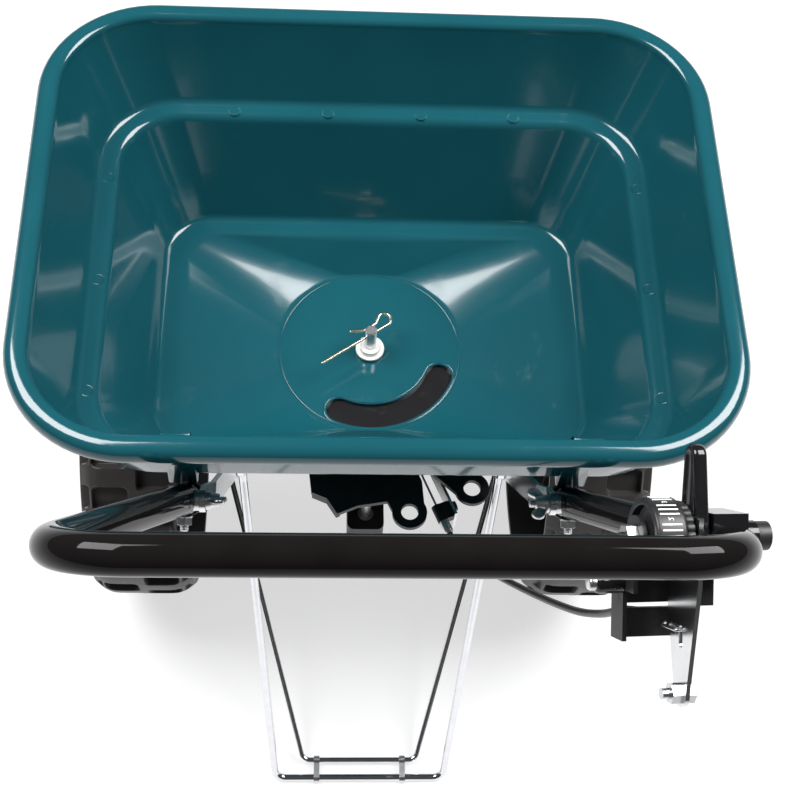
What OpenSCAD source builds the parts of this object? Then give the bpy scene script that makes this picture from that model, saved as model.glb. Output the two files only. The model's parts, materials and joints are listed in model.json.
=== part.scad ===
// Push broadcast spreader: moulded hopper, slide gate, bevel-driven spinner, two wheels, wire stand.
// Working frame: x to the operator's right, y forward, z up from the floor, axle over y = 0.
// Every node is moved forward by origin_y, so that the origin is under the middle of the whole object.

/* [Hopper] */
// Outside width of the rim
rim_w = 500; // [460:1:560]
// Outside length of the rim, front to back
rim_l = 386; // [350:1:420]
// Height of the rim above the floor
rim_z = 470; // [465:1:500]
// Radius of the rim's outside corners
rim_r = 85; // [70:1:95]
// Width of the rolled lip
lip_w = 17; // [13:0.5:22]
// Height of the lip's outer skirt
lip_h = 12; // [9:0.5:16]
// Wall of the moulded hopper
wall = 3; // [2.5:0.1:4]
// Depth of the upper step below the rim
step1_d = 69.5; // [60:0.5:80]
// Depth of the lower step below the rim
step2_d = 163.5; // [150:0.5:165]
// Depth of the round floor below the rim
floor_d = 190; // [186:0.5:196]
// Width of both steps
step_w = 13; // [9:0.5:16]
// How far the walls draw in from the rim to the upper step
draw1 = 23; // [16:0.5:28]
// How far the walls draw in from the upper step to the lower step
draw2 = 30.5; // [24:0.5:36]
// How far the back wall draws in to the upper step
draw1_back = 8; // [5:0.5:12]
// Radius of the round floor
floor_r = 73.5; // [72:0.5:78]
// Inner and outer radius of the outlet port
port_r1 = 50; // [46:0.5:54]
port_r2 = 71; // [68:0.5:71]
// Direction of the port's middle, anticlockwise from the right
port_dir = -68; // [-76:1:-60]
// Half of the port's angle
port_half = 46; // [36:1:50]

/* [Gate and base plate] */
// Thickness of the sliding gate
gate_t = 3; // [2.5:0.1:4]
// Travel of the gate, and of the cable
gate_travel = 28; // [22:0.5:30]
// Running gap above and below the gate
gate_gap = 0.3; // [0.2:0.05:0.5]
// Thickness of the moulded base plate
base_t = 4.5; // [3.5:0.1:6]
// Radius of the base plate
base_r = 112; // [108:0.5:116]
// Hole in each lug of the base plate
lug_hole_d = 13.5; // [10:0.1:15]
// Outside diameter of the lugs
lug_d = 27; // [24:0.1:31]
// Distance of the lugs' holes from the spinner shaft
lug_pcd_r = 144; // [138:0.5:150]

/* [Wheels and axle] */
// Wheel diameter
wheel_d = 300; // [294:1:302]
// Wheel width
wheel_w = 83; // [70:1:90]
// Distance between the wheels' middles
track = 375; // [366:1:384]
// Axle diameter
axle_d = 12.7; // [10:0.1:14]
// Length of the axle
axle_l = 482; // [474:1:492]
// Tread pockets in each of the two rows
tread_n = 24; // [18:1:30]
// Depth of the tread pockets
tread_depth = 8; // [4:0.5:10]
// Radial running clearance of every shaft in its bore
fit_gap = 0.05; // [0.02:0.01:0.1]

/* [Drive] */
// Teeth of the ring gear on the axle
ring_n = 40; // [40:4:40]
// Teeth of the pinion on the spinner shaft
pinion_n = 10; // [10:1:10]
// Gear module
gear_m = 2; // [1.8:0.05:2.1]
// Diameter of the spinner shaft
shaft_d = 9.5; // [8:0.1:11]
// Diameter of the spinner disc
spinner_d = 178; // [160:1:182]
// Vanes on the spinner
vane_n = 6; // [4:1:8]
// Height of the vanes
vane_h = 15; // [10:0.5:18]

/* [Handle and struts] */
// Tube of the handle
tube_d = 22.2; // [19:0.1:24]
// Wall of the tube
tube_wall = 1.6; // [1.2:0.1:2.5]
// Half of the handle's width at the bar, between tube centres
bar_x = 187; // [180:1:190]
// Height of the bar's centre above the floor
bar_z = 634; // [620:1:660]
// Distance of the bar behind the axle
bar_y = 329; // [320:1:345]
// Centreline radius of the handle's bends
bend_r = 42; // [36:1:44]
// Thickness of the flat struts
strut_t = 4; // [3:0.1:5]
// Width of the flat struts
strut_w = 16; // [14:0.5:18]
// Diameter of the screws and bolts
bolt_d = 6; // [5:0.1:6.4]

/* [Stand] */
// Wire of the stand
leg_d = 6.4; // [5:0.1:8]
// Wire of the brace
brace_d = 5; // [4:0.1:6]
// Half of the foot's width at the floor, between wire centres
foot_x = 74; // [66:1:82]
// Distance of the foot behind the axle
foot_y = 277; // [265:1:290]

/* [Control] */
// Distance of the control along the tube from its lower bolt
control_s = 228; // [220:1:230]
// Diameter of the rate dial
dial_d = 43; // [38:0.5:46]
// Width of the rate dial
dial_w = 18; // [12:0.5:20]
// Distance from the lever's pivot to the cable hook
hook_r = 50; // [46:0.5:54]
// Length of the steel arm below the pivot
arm_l = 84; // [78:0.5:92]
// Sheath of the cable
sheath_d = 5; // [4:0.1:6]
// Inner wire of the cable
wire_d = 1.8; // [1.4:0.1:2]

/* [Hidden] */
$fn = 48;
port_step = 0.2;
eps = 0.01;

// Heights of the hopper's levels
step1_z = rim_z - step1_d;
step2_z = rim_z - step2_d;
floor_z = rim_z - floor_d;
// Inner half sizes at each level: half width, front, back, corner radius
sec_rim = [rim_w / 2 - lip_w, rim_l / 2 - lip_w, rim_l / 2 - lip_w, rim_r - lip_w];
sec_a = [sec_rim[0] - draw1, sec_rim[1] - draw1, sec_rim[2] - draw1_back, sec_rim[3] - 8];
sec_b = [sec_a[0] - step_w, sec_a[1] - step_w, sec_a[2] - step_w, sec_a[3] - 12];
sec_c = [sec_b[0] - draw2, sec_b[1] - draw2, sec_b[2] - draw2 - 16.5, sec_b[3] - 10];
sec_d = [sec_c[0] - step_w - 2, sec_c[1] - step_w - 2, sec_c[2] - step_w - 1, sec_c[3] - 11];

// Base plate and gate, stacked under the hopper's floor
under_z = floor_z - wall;
gate_z = under_z - gate_gap - gate_t;
base_z = gate_z - gate_gap - base_t;
base_top = base_z + base_t;
pad_dirs = [30, 90, 150, 205];
pad_r = 64;
pad_d = 14;
lug_dirs = [-77.9, -56.5];
gate_half_w = 66;
gate_r1 = port_r1 - 5;
gate_r2 = port_r2 + 5;
tongue_w = 13;
tongue_r = 102;
hook_at = tongue_r - 6;
rail_w = 4;

// Axle, spinner shaft and gears
axle_z = wheel_d / 2;
axle_r = axle_d / 2;
shaft_r = shaft_d / 2;
pinion_r = gear_m * pinion_n / 2;
ring_r = gear_m * ring_n / 2;
addendum = 0.75 * gear_m;
dedendum = 1.1 * gear_m;
gear_face = 8;
ring_r2 = ring_r + 1;
ring_r1 = ring_r2 - gear_face;
pinion_z = axle_z + ring_r1 + 1;
pinion_face = gear_face + 3;
ring_x = pinion_r;
ring_web = 4;
gear_hub_r = 12;
box_gap = 3;
box_wall = 3;
box_x1 = -pinion_r - addendum - box_gap;
box_x2 = ring_x + dedendum + ring_web + box_gap;
box_r = ring_r2 + box_gap;
box_out = box_r + box_wall;
screw_ring = box_out + 4.4;
screw_dirs = [50, 130, 215, 325];
neck_r = pinion_r + addendum + 1.5 + box_wall;
neck_z = axle_z + box_out + 6;
tail_w = 31;
tail_y = 112;
tail_z = axle_z + 14;
tail_t = 20;
pin_d = 8.8;
pin_y = 98;
spinner_z = neck_z + 14;
spinner_t = 3;
hub_r = 12;
shaft_top = floor_z + 32;
shaft_low = axle_z + axle_r + 1;
bush_r = 8.6;
bush_flange_r = 11.5;
clip_z = shaft_top - 7;
clip_wire = 2.4;

// Wheels: tread, web, hub
wheel_r = wheel_d / 2;
wheel_x = track / 2;
tread_t = 14;
hub_w = wheel_w + 4;
wheel_hub_r = 19;
web_t = 5;
spoke_n = 8;
spoke_h = 7;

// Handle plane: along x and v, with n its forward normal
low = [134, -186, 389];
v_len = norm([bar_y + low[1], bar_z - low[2]]);
v_dir = [0, -(bar_y + low[1]) / v_len, (bar_z - low[2]) / v_len];
n_dir = [0, v_dir[2], -v_dir[1]];
side_len = norm([bar_x - low[0], v_len]);
lean = atan2(bar_x - low[0], v_len);
// Right-hand tube frame: outward, forward normal, up along the tube
tube_t = [(bar_x - low[0]) / side_len, v_dir[1] * v_len / side_len, v_dir[2] * v_len / side_len];
tube_o = cross(n_dir, tube_t);
tube_r = tube_d / 2;
tube_tail = 16;
cap_l = 24;
cap_wall = 1.2;

// Struts: flat bars in planes of constant x, from the handle to the axle
strut_x = low[0] - tube_r - strut_t / 2 - 1.2;
cross_s = 4;
bolt_s = -6.5;
strut_top = [low[1] + tube_t[1] * cross_s, low[2] + tube_t[2] * cross_s];
jog_z1 = strut_top[1] - 7;
jog_z2 = jog_z1 - 9;
jog_z3 = axle_z + 36;
jog_x = strut_x - 5.5;
low_x = 93;
lean_in = atan2(jog_x - low_x, jog_z2 - jog_z3);
knee = [-48, 208];
eye_r = 15;
bushing_r = axle_r + 3;
leg_f = 0.54;
leg_at = strut_top + (knee - strut_top) * leg_f;
leg_at_x = jog_x - (jog_z2 - leg_at[1]) * tan(lean_in);
leg_r = leg_d / 2;
leg_tab = 1.8 * leg_r;
leg_off = strut_t / 2 + leg_r + 0.2;
leg_tab_x = -strut_t / 2 - 0.2;
brace_r = brace_d / 2;
brace_x = 130;
brace_foot_x = 50;
brace_foot_y = foot_y - 15;
brace_z = 5.5;
brace_tab = 4;
bolt_r = bolt_d / 2;
head_d = 1.8 * bolt_d;
head_h = 0.66 * bolt_d;
boss_w = 20;
boss_y = low[1] + 12.5;
seat_y = low[1] + n_dir[1] * (tube_r + 0.2);
seat_z = low[2] + n_dir[2] * (tube_r + 0.2);
boss_low = seat_z - 9.4;

// Control on the right-hand tube, in the tube frame
pivot_y = 4;
lever_x = -tube_r - 6;
lever_t = 8;
arm_t = 2.5;
arm_x = lever_x - lever_t / 2 - 0.3 - arm_t / 2;
dial_x1 = arm_x - arm_t / 2 - 1;
ring_w2 = 5;
bracket_t = 2.5;
bracket_x = dial_x1 - ring_w2 - dial_w - 1.2 - bracket_t / 2;
pivot_r = 3.2;
lever_len = 50;
arm_top_w = 40;
arm_low_w = 15;
wire_gap = 14;
bore_l = gate_travel + 5;
slot_r = 2.4;
slot_l = sqrt(hook_r * hook_r + gate_travel * gate_travel) - hook_r;
saddle_wall = 6;
saddle_l = 30;
saddle_up = 9;
stop_d = 12;
stop_l = 20;
dial_marks = 22;
knurl_n = 24;

// The rearmost point is the round end of the steel arm, the foremost is the rim
arm_end = low + tube_t * control_s + tube_o * arm_x + n_dir * (pivot_y - arm_l);
rear_y = arm_end[1] - arm_low_w / 2 * sqrt(1 - pow(tube_o[1], 2)) - arm_t / 2 * abs(tube_o[1]);
origin_y = -(rim_l / 2 + rear_y) / 2;

// Cable sheath: chosen points, from the control down to the clip on the cable bracket
clip_r = 145;
port_vec = [cos(port_dir), sin(port_dir), 0];
clip_at = [port_vec[0] * clip_r, port_vec[1] * clip_r, base_z - 9];
seat_s = -wire_gap - 14;
sheath_top = low + tube_t * (control_s + seat_s) + tube_o * arm_x
    + n_dir * (pivot_y - hook_r);
cable_pts = [
    [136, -306, 500], [131, -297, 470], [124, -284, 438], [116, -266, 404], [107, -245, 368],
    [98, -224, 334], [89, -204, 303], [80, -189, 279]];

module place() {
    translate([0, origin_y, 0]) children();
}

module both_sides() {
    children();
    mirror([1, 0, 0]) children();
}

// Turns children to the right-hand tube: x outward, y along the normal, z up the tube
module on_tube(s = 0) {
    multmatrix([[tube_o[0], n_dir[0], tube_t[0], low[0]],
        [tube_o[1], n_dir[1], tube_t[1], low[1]],
        [tube_o[2], n_dir[2], tube_t[2], low[2]],
        [0, 0, 0, 1]]) translate([0, 0, s]) children();
}

// Cylinder along x
module xcyl(r, x1, x2) {
    translate([x1, 0, 0]) rotate([0, 90, 0]) cylinder(r = r, h = x2 - x1);
}

// Tube or rod from one point to another
module rod(p, q, r) {
    d = q - p;
    translate(p) rotate([0, acos(d[2] / norm(d)), atan2(d[1], d[0])]) cylinder(r = r, h = norm(d));
}

// Round bend between two directions that meet at p
module elbow(p, a, b, rb, r) {
    turn = acos(a * b);
    axis = unit(cross(a, b));
    inward = cross(axis, a);
    c = p - a * rb * tan(turn / 2) + inward * rb;
    multmatrix([[-inward[0], a[0], axis[0], c[0]],
        [-inward[1], a[1], axis[1], c[1]],
        [-inward[2], a[2], axis[2], c[2]],
        [0, 0, 0, 1]]) rotate_extrude(angle = turn) translate([rb, 0]) circle(r);
}

// Rod through a list of points, with a round bend at each inner one. The straight runs reach
// a little into the bends and are thinner by a small step
module bent_rod(p, rb, r, step = 0.03) {
    last = len(p) - 1;
    dir = [for (i = [0:last - 1]) unit(p[i + 1] - p[i])];
    lap = 10 * step;
    run = [for (i = [0:last]) i == 0 || i == last ? 0 : rb * tan(acos(dir[i - 1] * dir[i]) / 2)];
    for (i = [0:last - 1])
        rod(p[i] + dir[i] * (run[i] - (i == 0 ? 0 : lap)),
            p[i + 1] - dir[i] * (run[i + 1] - (i == last - 1 ? 0 : lap)), r - step);
    for (i = [1:last - 1]) elbow(p[i], dir[i - 1], dir[i], rb, r);
}

// Hexagon along z, drawn by its width across flats
module hex(af, h) {
    cylinder(d = af / cos(30), h = h, $fn = 6);
}

// Rounded rectangle from section sizes, grown by g
module outline(s, g = 0) {
    a = s[0] + g;
    f = s[1] + g;
    b = s[2] + g;
    r = s[3] + g;
    translate([-a + r, -b]) square([2 * (a - r), f + b]);
    translate([-a, -b + r]) square([2 * a, f + b - 2 * r]);
    for (x = [-1, 1]) {
        translate([x * (a - r), f - r]) circle(r);
        translate([x * (a - r), -b + r]) circle(r);
    }
}

module slab(s, z, g = 0, h = eps) {
    translate([0, 0, z]) linear_extrude(h) outline(s, g);
}

// Cross-section of the rolled lip, from the hopper's inner face outwards
module lip_profile() {
    round_r = 6;
    difference() {
        union() {
            translate([0, -lip_h]) square([lip_w, lip_h - round_r]);
            translate([0, -round_r]) square([lip_w - round_r, round_r]);
            translate([lip_w - round_r, -round_r]) circle(round_r);
        }
        translate([wall, -lip_h - 1]) square([lip_w - 2 * wall, lip_h - wall + 1]);
    }
}

module lip() {
    a = sec_rim[0];
    b = sec_rim[1];
    r = sec_rim[3];
    for (q = [[1, 1, 0], [-1, 1, 90], [-1, -1, 180], [1, -1, 270]])
        translate([q[0] * (a - r), q[1] * (b - r), rim_z]) rotate([0, 0, q[2]])
            rotate_extrude(angle = 90) translate([r, 0]) lip_profile();
    for (k = [0, 180]) rotate([0, 0, k]) {
        translate([a, b - r, rim_z]) rotate([90, 0, 0])
            linear_extrude(2 * (b - r)) lip_profile();
        translate([-a + r, b, rim_z]) rotate([90, 0, 90])
            linear_extrude(2 * (a - r)) lip_profile();
    }
}

// Arc-shaped slot through the floor, with round ends
module port_cut(r1, r2, half, z1, z2) {
    mid_r = (r1 + r2) / 2;
    end_r = (r2 - r1) / 2 - port_step;
    rotate([0, 0, port_dir - half]) translate([0, 0, z1])
        rotate_extrude(angle = 2 * half) translate([r1, 0]) square([r2 - r1, z2 - z1]);
    for (k = [-1, 1]) rotate([0, 0, port_dir + k * half])
        translate([mid_r, 0, z1]) cylinder(r = end_r, h = z2 - z1);
}

module hopper() {
    color("#20707f") place() difference() {
        union() {
            hull() {
                slab(sec_rim, rim_z - 2 * wall, wall);
                slab(sec_a, step1_z - wall, wall);
            }
            hull() {
                slab(sec_b, step1_z - wall + eps, wall);
                slab(sec_c, step2_z - wall, wall);
            }
            hull() {
                slab(sec_d, step2_z - wall + eps, wall);
                translate([0, 0, under_z]) cylinder(r = floor_r + wall, h = eps);
            }
            lip();
            both_sides() translate([low[0] - boss_w / 2, 0, 0]) rotate([90, 0, 90])
                linear_extrude(boss_w) boss_outline();
            translate([0, 0, under_z]) cylinder(r = bush_flange_r + 3, h = wall + 2);
        }
        hull() {
            slab(sec_rim, rim_z + 1);
            slab(sec_a, step1_z);
        }
        hull() {
            slab(sec_b, step1_z + 1);
            slab(sec_c, step2_z);
        }
        hull() {
            slab(sec_d, step2_z + 1);
            translate([0, 0, floor_z]) cylinder(r = floor_r, h = eps);
        }
        translate([0, 0, under_z - 1]) cylinder(r = bush_r + fit_gap, h = wall + 10);
        port_cut(port_r1, port_r2, port_half, under_z - 1, floor_z + 1);
        for (d = pad_dirs) rotate([0, 0, d]) translate([pad_r, 0, under_z - 1])
            cylinder(r = 2.2, h = wall + 0.2);
        both_sides() on_tube(bolt_s) rotate([-90, 0, 0])
            cylinder(r = bolt_r + 0.01, h = tube_r + 13);
    }
}

// Side view of a rear boss: upright above, and a seat for the handle tube below
module boss_outline() {
    slope = v_dir[1] / v_dir[2];
    bend_z = seat_z + (boss_y - seat_y) / slope;
    polygon([[boss_y, rim_z - lip_h + wall], [boss_y, bend_z],
        [seat_y + (boss_low - seat_z) * slope, boss_low], [seat_y + 34, boss_low],
        [seat_y + 34, rim_z - lip_h + wall]]);
}

// Disc with two lugs, a ribbed ear and the pads that carry it under the hopper
module base_plate() {
    ear = [[-52, -70], [-46, -125], [-34, -130], [-26, -143], [-10, -136], [14, -132], [30, -90]];
    color("#17181a") place() difference() {
        union() {
            translate([0, 0, base_z]) cylinder(r = base_r, h = base_t, $fn = 96);
            translate([0, 0, base_z]) linear_extrude(base_t) polygon(ear);
            translate([0, 0, base_z - 8]) linear_extrude(9)
                polygon([[-45.5, -124], [-34, -129], [-26.5, -141], [-23.5, -139.5], [-32, -126], [-44.5, -120.5]]);
            for (d = lug_dirs) rotate([0, 0, d]) translate([0, 0, base_z]) {
                translate([lug_pcd_r, 0, 0]) cylinder(d = lug_d, h = base_t);
                linear_extrude(base_t) polygon([[base_r - 16, -24], [lug_pcd_r, -lug_d / 2 + 1.5],
                    [lug_pcd_r, lug_d / 2 - 1.5], [base_r - 16, 19]]);
            }
            for (d = pad_dirs) rotate([0, 0, d]) translate([pad_r, 0, base_z])
                cylinder(d = pad_d, h = under_z - base_z);
            rotate([0, 0, port_dir]) for (k = [-1, 1])
                translate([26, k * (gate_half_w + gate_gap + rail_w / 2) - rail_w / 2, base_z])
                    cube([54, rail_w, under_z - base_z - 0.2]);
            for (k = [0:5]) rotate([0, 0, 20 + 36 * k]) translate([74, -1.5, base_z - 5])
                cube([34, 3, 6]);
            translate([0, 0, base_z - 5]) difference() {
                cylinder(r = 26, h = 6);
                translate([0, 0, -1]) cylinder(r = 22, h = 6);
            }
        }
        translate([0, 0, base_z - 1]) cylinder(r = 14, h = base_t + 2);
        port_cut(port_r1 - 2, port_r2 + 2, port_half, base_z - 1, base_top + 1);
        for (d = lug_dirs) rotate([0, 0, d]) translate([lug_pcd_r, 0, base_z - 1])
            cylinder(d = lug_hole_d, h = base_t + 2);
        for (d = pad_dirs) rotate([0, 0, d]) translate([pad_r, 0, base_z - 1])
            cylinder(r = 2.2, h = base_t + 10);
        rotate([0, 0, port_dir]) translate([hook_at - 2, -tongue_w / 2 + 1, base_z - 1])
            cube([40, tongue_w - 2, base_t + 2]);
    }
}

module base_screws() {
    color("silver") place() for (d = pad_dirs) rotate([0, 0, d]) translate([pad_r, 0, 0]) {
        translate([0, 0, base_z - 3.2]) hex(8, 3.2);
        translate([0, 0, base_z - 1]) cylinder(r = 2.1, h = floor_z - base_z);
    }
}

module shaft_bushing() {
    color("#f2f0ea") place() difference() {
        union() {
            translate([0, 0, under_z]) cylinder(r = bush_r, h = wall + 9);
            translate([0, 0, floor_z + 2]) cylinder(r = bush_flange_r, h = 2);
        }
        translate([0, 0, under_z - 1]) cylinder(r = shaft_r + fit_gap, h = wall + 12);
    }
}

// Blade under the port, with a tongue that reaches out between the lugs
module slide_gate() {
    color("#141415") place() rotate([0, 0, port_dir]) difference() {
        union() {
            translate([0, 0, gate_z]) intersection() {
                difference() {
                    cylinder(r = gate_r2, h = gate_t, $fn = 96);
                    translate([0, 0, -1]) cylinder(r = gate_r1, h = gate_t + 2);
                }
                translate([20, -gate_half_w, 0]) cube([60, 2 * gate_half_w, gate_t]);
            }
            translate([gate_r2 - 6, -tongue_w / 2, gate_z])
                cube([tongue_r - gate_r2 + 6 - tongue_w / 2, tongue_w, gate_t]);
            translate([tongue_r - tongue_w / 2, 0, gate_z]) cylinder(d = tongue_w, h = gate_t);
            translate([hook_at, -4, clip_at[2] - 4]) cube([3, 8, gate_z - clip_at[2] + 5]);
        }
        translate([hook_at - 1, 0, clip_at[2]]) xcyl(wire_d / 2 + 0.01, 0, 6);
    }
}

// Lower end of the inner wire: it moves with the gate and slides in the sheath
module gate_wire() {
    color("#b9bcc0") place() rotate([0, 0, port_dir]) translate([0, 0, clip_at[2]]) {
        xcyl(wire_d / 2, hook_at - 3.5, clip_r + 3);
        xcyl(wire_d * 1.1, hook_at - 4, hook_at - 0.3);
    }
}

// Shell of the gearbox, cut in two at x = 0
module gearbox_solid() {
    difference() {
        union() {
            translate([0, 0, axle_z]) xcyl(box_out, box_x1 - box_wall, box_x2 + box_wall);
            translate([0, 0, axle_z]) cylinder(r = neck_r, h = neck_z - axle_z);
            translate([-tail_w / 2, -tail_y + 6, tail_z - tail_t / 2])
                cube([tail_w, tail_y - 36, tail_t]);
            translate([-tail_w / 2 + 6, -tail_y, tail_z - tail_t / 2])
                cube([tail_w - 12, tail_y - 36, tail_t]);
            for (x = [-1, 1]) translate([x * (tail_w / 2 - 6), -tail_y + 6, tail_z - tail_t / 2])
                cylinder(r = 6, h = tail_t);
            for (a = screw_dirs) translate([0, 0, axle_z]) rotate([a, 0, 0])
                translate([0, screw_ring, 0]) xcyl(6, box_x1 - box_wall + 4, box_x2 + box_wall - 4);
        }
        translate([0, 0, axle_z]) xcyl(box_r, box_x1, box_x2);
        translate([0, 0, axle_z]) cylinder(r = neck_r - box_wall, h = neck_z - axle_z - 4);
        translate([0, 0, axle_z]) cylinder(r = shaft_r + fit_gap, h = neck_z);
        translate([0, 0, axle_z]) xcyl(axle_r + fit_gap, -60, 60);
        translate([0, -pin_y, tail_z - tail_t]) cylinder(d = pin_d + 0.4, h = 2 * tail_t);
        for (a = screw_dirs) translate([0, 0, axle_z]) rotate([a, 0, 0])
            translate([0, screw_ring, 0]) xcyl(2.1, -60, 60);
    }
}

module gearbox_left() {
    color("#2b2b2e") place() intersection() {
        gearbox_solid();
        translate([-80, -200, 0]) cube([80, 400, 400]);
    }
}

module gearbox_right() {
    color("#303033") place() intersection() {
        gearbox_solid();
        translate([0, -200, 0]) cube([80, 400, 400]);
    }
}

module gearbox_screws() {
    color("silver") place() for (a = screw_dirs)
        translate([0, 0, axle_z]) rotate([a, 0, 0]) translate([0, screw_ring, 0]) {
            xcyl(2, box_x1 - box_wall + 2, box_x2 + box_wall + 1);
            translate([box_x1 - box_wall + 1, 0, 0]) rotate([0, 90, 0]) hex(7, 3);
        }
}

// Pin under the base plate that keeps the gearbox from turning with the axle
module torque_pin() {
    color("#c9ccd0") place() translate([0, -pin_y, 0]) {
        translate([0, 0, tail_z - tail_t / 2 + 3]) cylinder(d = pin_d, h = base_z - tail_z + tail_t / 2 - 3);
        translate([0, 0, tail_z + tail_t / 2 + 0.2]) cylinder(d = pin_d + 4.5, h = 1.5);
    }
}

module drive_shaft() {
    color("#c4c7cb") place() difference() {
        union() {
            translate([0, 0, shaft_low]) cylinder(r = shaft_r, h = shaft_top - shaft_low - 1);
            translate([0, 0, shaft_top - 1]) cylinder(r1 = shaft_r, r2 = shaft_r - 1, h = 1);
        }
        rotate([0, 0, 35]) translate([0, 0, clip_z]) xcyl(clip_wire / 2 + 0.15, -10, 10);
        translate([0, 0, spinner_z - 5]) xcyl(1.5 + 0.01, -10, 10);
    }
}

// Pinion whose straight teeth mesh with the face teeth of the ring gear
module shaft_pinion() {
    root_r = pinion_r - dedendum;
    tip_r = pinion_r + addendum;
    half = 360 / pinion_n / 4;
    color("#d8d4c8") place() translate([0, 0, pinion_z]) difference() {
        union() {
            cylinder(r = root_r, h = pinion_face);
            for (k = [0:pinion_n - 1]) rotate([0, 0, (k + 0.5) * 360 / pinion_n])
                linear_extrude(pinion_face) polygon([
                    [root_r - 1, -root_r * sin(half * 0.95)], [pinion_r, -pinion_r * sin(half * 0.72)],
                    [tip_r, -tip_r * sin(half * 0.34)], [tip_r, tip_r * sin(half * 0.34)],
                    [pinion_r, pinion_r * sin(half * 0.72)], [root_r - 1, root_r * sin(half * 0.95)]]);
            translate([0, 0, pinion_face - 1]) cylinder(r = pinion_r - 1, h = 5);
        }
        translate([0, 0, -1]) cylinder(r = shaft_r + 0.01, h = pinion_face + 8);
    }
}

// Ring gear: disc on the axle with teeth on the face towards the spinner shaft
module ring_gear() {
    back = ring_x + dedendum;
    color("#ded9cb") place() translate([0, 0, axle_z]) difference() {
        union() {
            xcyl(ring_r2, back, back + ring_web);
            xcyl(gear_hub_r, shaft_r + 1.2, back + ring_web);
            for (k = [0:ring_n - 1]) rotate([k * 360 / ring_n, 0, 0]) face_tooth();
        }
        xcyl(axle_r + 0.01, -20, 60);
        translate([back - 5, 0, 0]) cylinder(r = 1.51, h = 40, center = true);
        for (a = [30:60:330]) rotate([a, 0, 0]) translate([0, 22, 0])
            xcyl(6, back - 1, back + ring_web + 1);
    }
}

// One face tooth along the radius: narrow at its crest, wider at its root
module face_tooth() {
    half = 360 / ring_n / 4;
    mid = (ring_r1 + ring_r2) / 2;
    w1 = mid * sin(half * 0.34);
    w2 = mid * sin(half * 1.05);
    x1 = ring_x - addendum;
    x2 = ring_x + dedendum + 0.5;
    translate([0, ring_r1, 0]) rotate([-90, 0, 0]) linear_extrude(ring_r2 - ring_r1)
        polygon([[x1, -w1], [x2, -w2], [x2, w2], [x1, w1]]);
}

module gear_pin() {
    color("silver") place() translate([ring_x + dedendum - 5, 0, axle_z])
        cylinder(r = 1.5, h = 23, center = true);
}

// Spinner: dished disc with curved vanes
module spinner() {
    r = spinner_d / 2;
    color("#1b1c1e") place() translate([0, 0, spinner_z]) difference() {
        union() {
            cylinder(r = r, h = spinner_t, $fn = 96);
            translate([0, 0, -11]) cylinder(r = hub_r, h = 22);
            for (k = [0:vane_n - 1]) rotate([0, 0, k * 360 / vane_n]) vane(r);
            difference() {
                cylinder(r = r, h = spinner_t + 3, $fn = 96);
                translate([0, 0, -1]) cylinder(r = r - 3, h = spinner_t + 6, $fn = 96);
            }
        }
        translate([0, 0, -12]) cylinder(r = shaft_r + 0.01, h = 40);
        translate([0, 0, -5]) xcyl(1.51, -20, 20);
    }
}

// Curved vane: a slice of a ring whose centre lies beside the disc's radius
module vane(r) {
    bend = r * 1.15;
    sweep = 38;
    translate([hub_r - 4, 0, 0]) translate([0, bend, 0]) rotate([0, 0, -90])
        rotate_extrude(angle = sweep, $fn = 96) translate([bend - 1.5, 0])
            square([3, spinner_t + vane_h]);
}

module spinner_pin() {
    color("silver") place() translate([0, 0, spinner_z - 5]) xcyl(1.5, -hub_r + 0.5, hub_r - 0.5);
}

// Spring clip through the shaft: a long straight leg, a loop and a short leg
module agitator_clip() {
    wr = clip_wire / 2;
    side = shaft_r + wr + 0.2;
    color("#c9bfa6") place() translate([0, 0, clip_z]) rotate([0, 0, 35])
        bent_rod([[-47, 0, 0], [19.5, 0, 0], [24, 7, 0], [17.5, 12, 0], [9, side, 0], [-2, side, 0],
            [-12, side + 5, 0]], 3, wr);
}

module axle() {
    color("#b4b7bb") place() translate([0, 0, axle_z]) difference() {
        union() {
            xcyl(axle_r, -axle_l / 2 + 1, axle_l / 2 - 1);
            for (k = [0, 180]) rotate([0, 0, k]) translate([axle_l / 2 - 1, 0, 0]) rotate([0, 90, 0])
                cylinder(r1 = axle_r, r2 = axle_r - 1, h = 1);
        }
        translate([ring_x + dedendum - 5, 0, 0]) cylinder(r = 1.51, h = 40, center = true);
        for (k = [-1, 1]) translate([k * (axle_l / 2 - 5), 0, 0])
            cylinder(r = 1.6, h = 40, center = true);
        translate([-wheel_x + hub_w / 2 - 8, 0, 0]) cylinder(r = 2.51, h = 40, center = true);
    }
}

// Tubes on the axle between the struts, the brace and the wheels
module axle_spacers() {
    inner = [low_x + strut_t / 2 + 4.4, brace_x - brace_tab / 2 - 0.4];
    outer = [brace_x + brace_tab / 2 + 0.4, wheel_x - hub_w / 2 - 0.4];
    color("#25262a") place() translate([0, 0, axle_z]) both_sides() for (s = [inner, outer])
        difference() {
            xcyl(axle_r + 2.6, s[0], s[1]);
            xcyl(axle_r + 0.01, s[0] - 1, s[1] + 1);
        }
}

module axle_washers() {
    x = wheel_x + hub_w / 2 + 0.3;
    color("silver") place() translate([0, 0, axle_z]) both_sides() difference() {
        xcyl(14, x, x + 1.8);
        xcyl(axle_r + 0.01, x - 1, x + 3);
    }
}

// Hitch clips through the ends of the axle
module axle_clips() {
    reach = axle_r + 4;
    color("silver") place() for (k = [-1, 1]) translate([k * (axle_l / 2 - 5), 0, axle_z])
        bent_rod([[0, 0, -reach], [0, 0, reach + 4], [0, 9, reach + 4], [0, 9, 0]], 3, 1.5);
}

module drive_pin() {
    color("silver") place() translate([-wheel_x + hub_w / 2 - 8, 0, axle_z])
        cylinder(r = 2.5, h = 2 * wheel_hub_r - 1, center = true);
}

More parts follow.
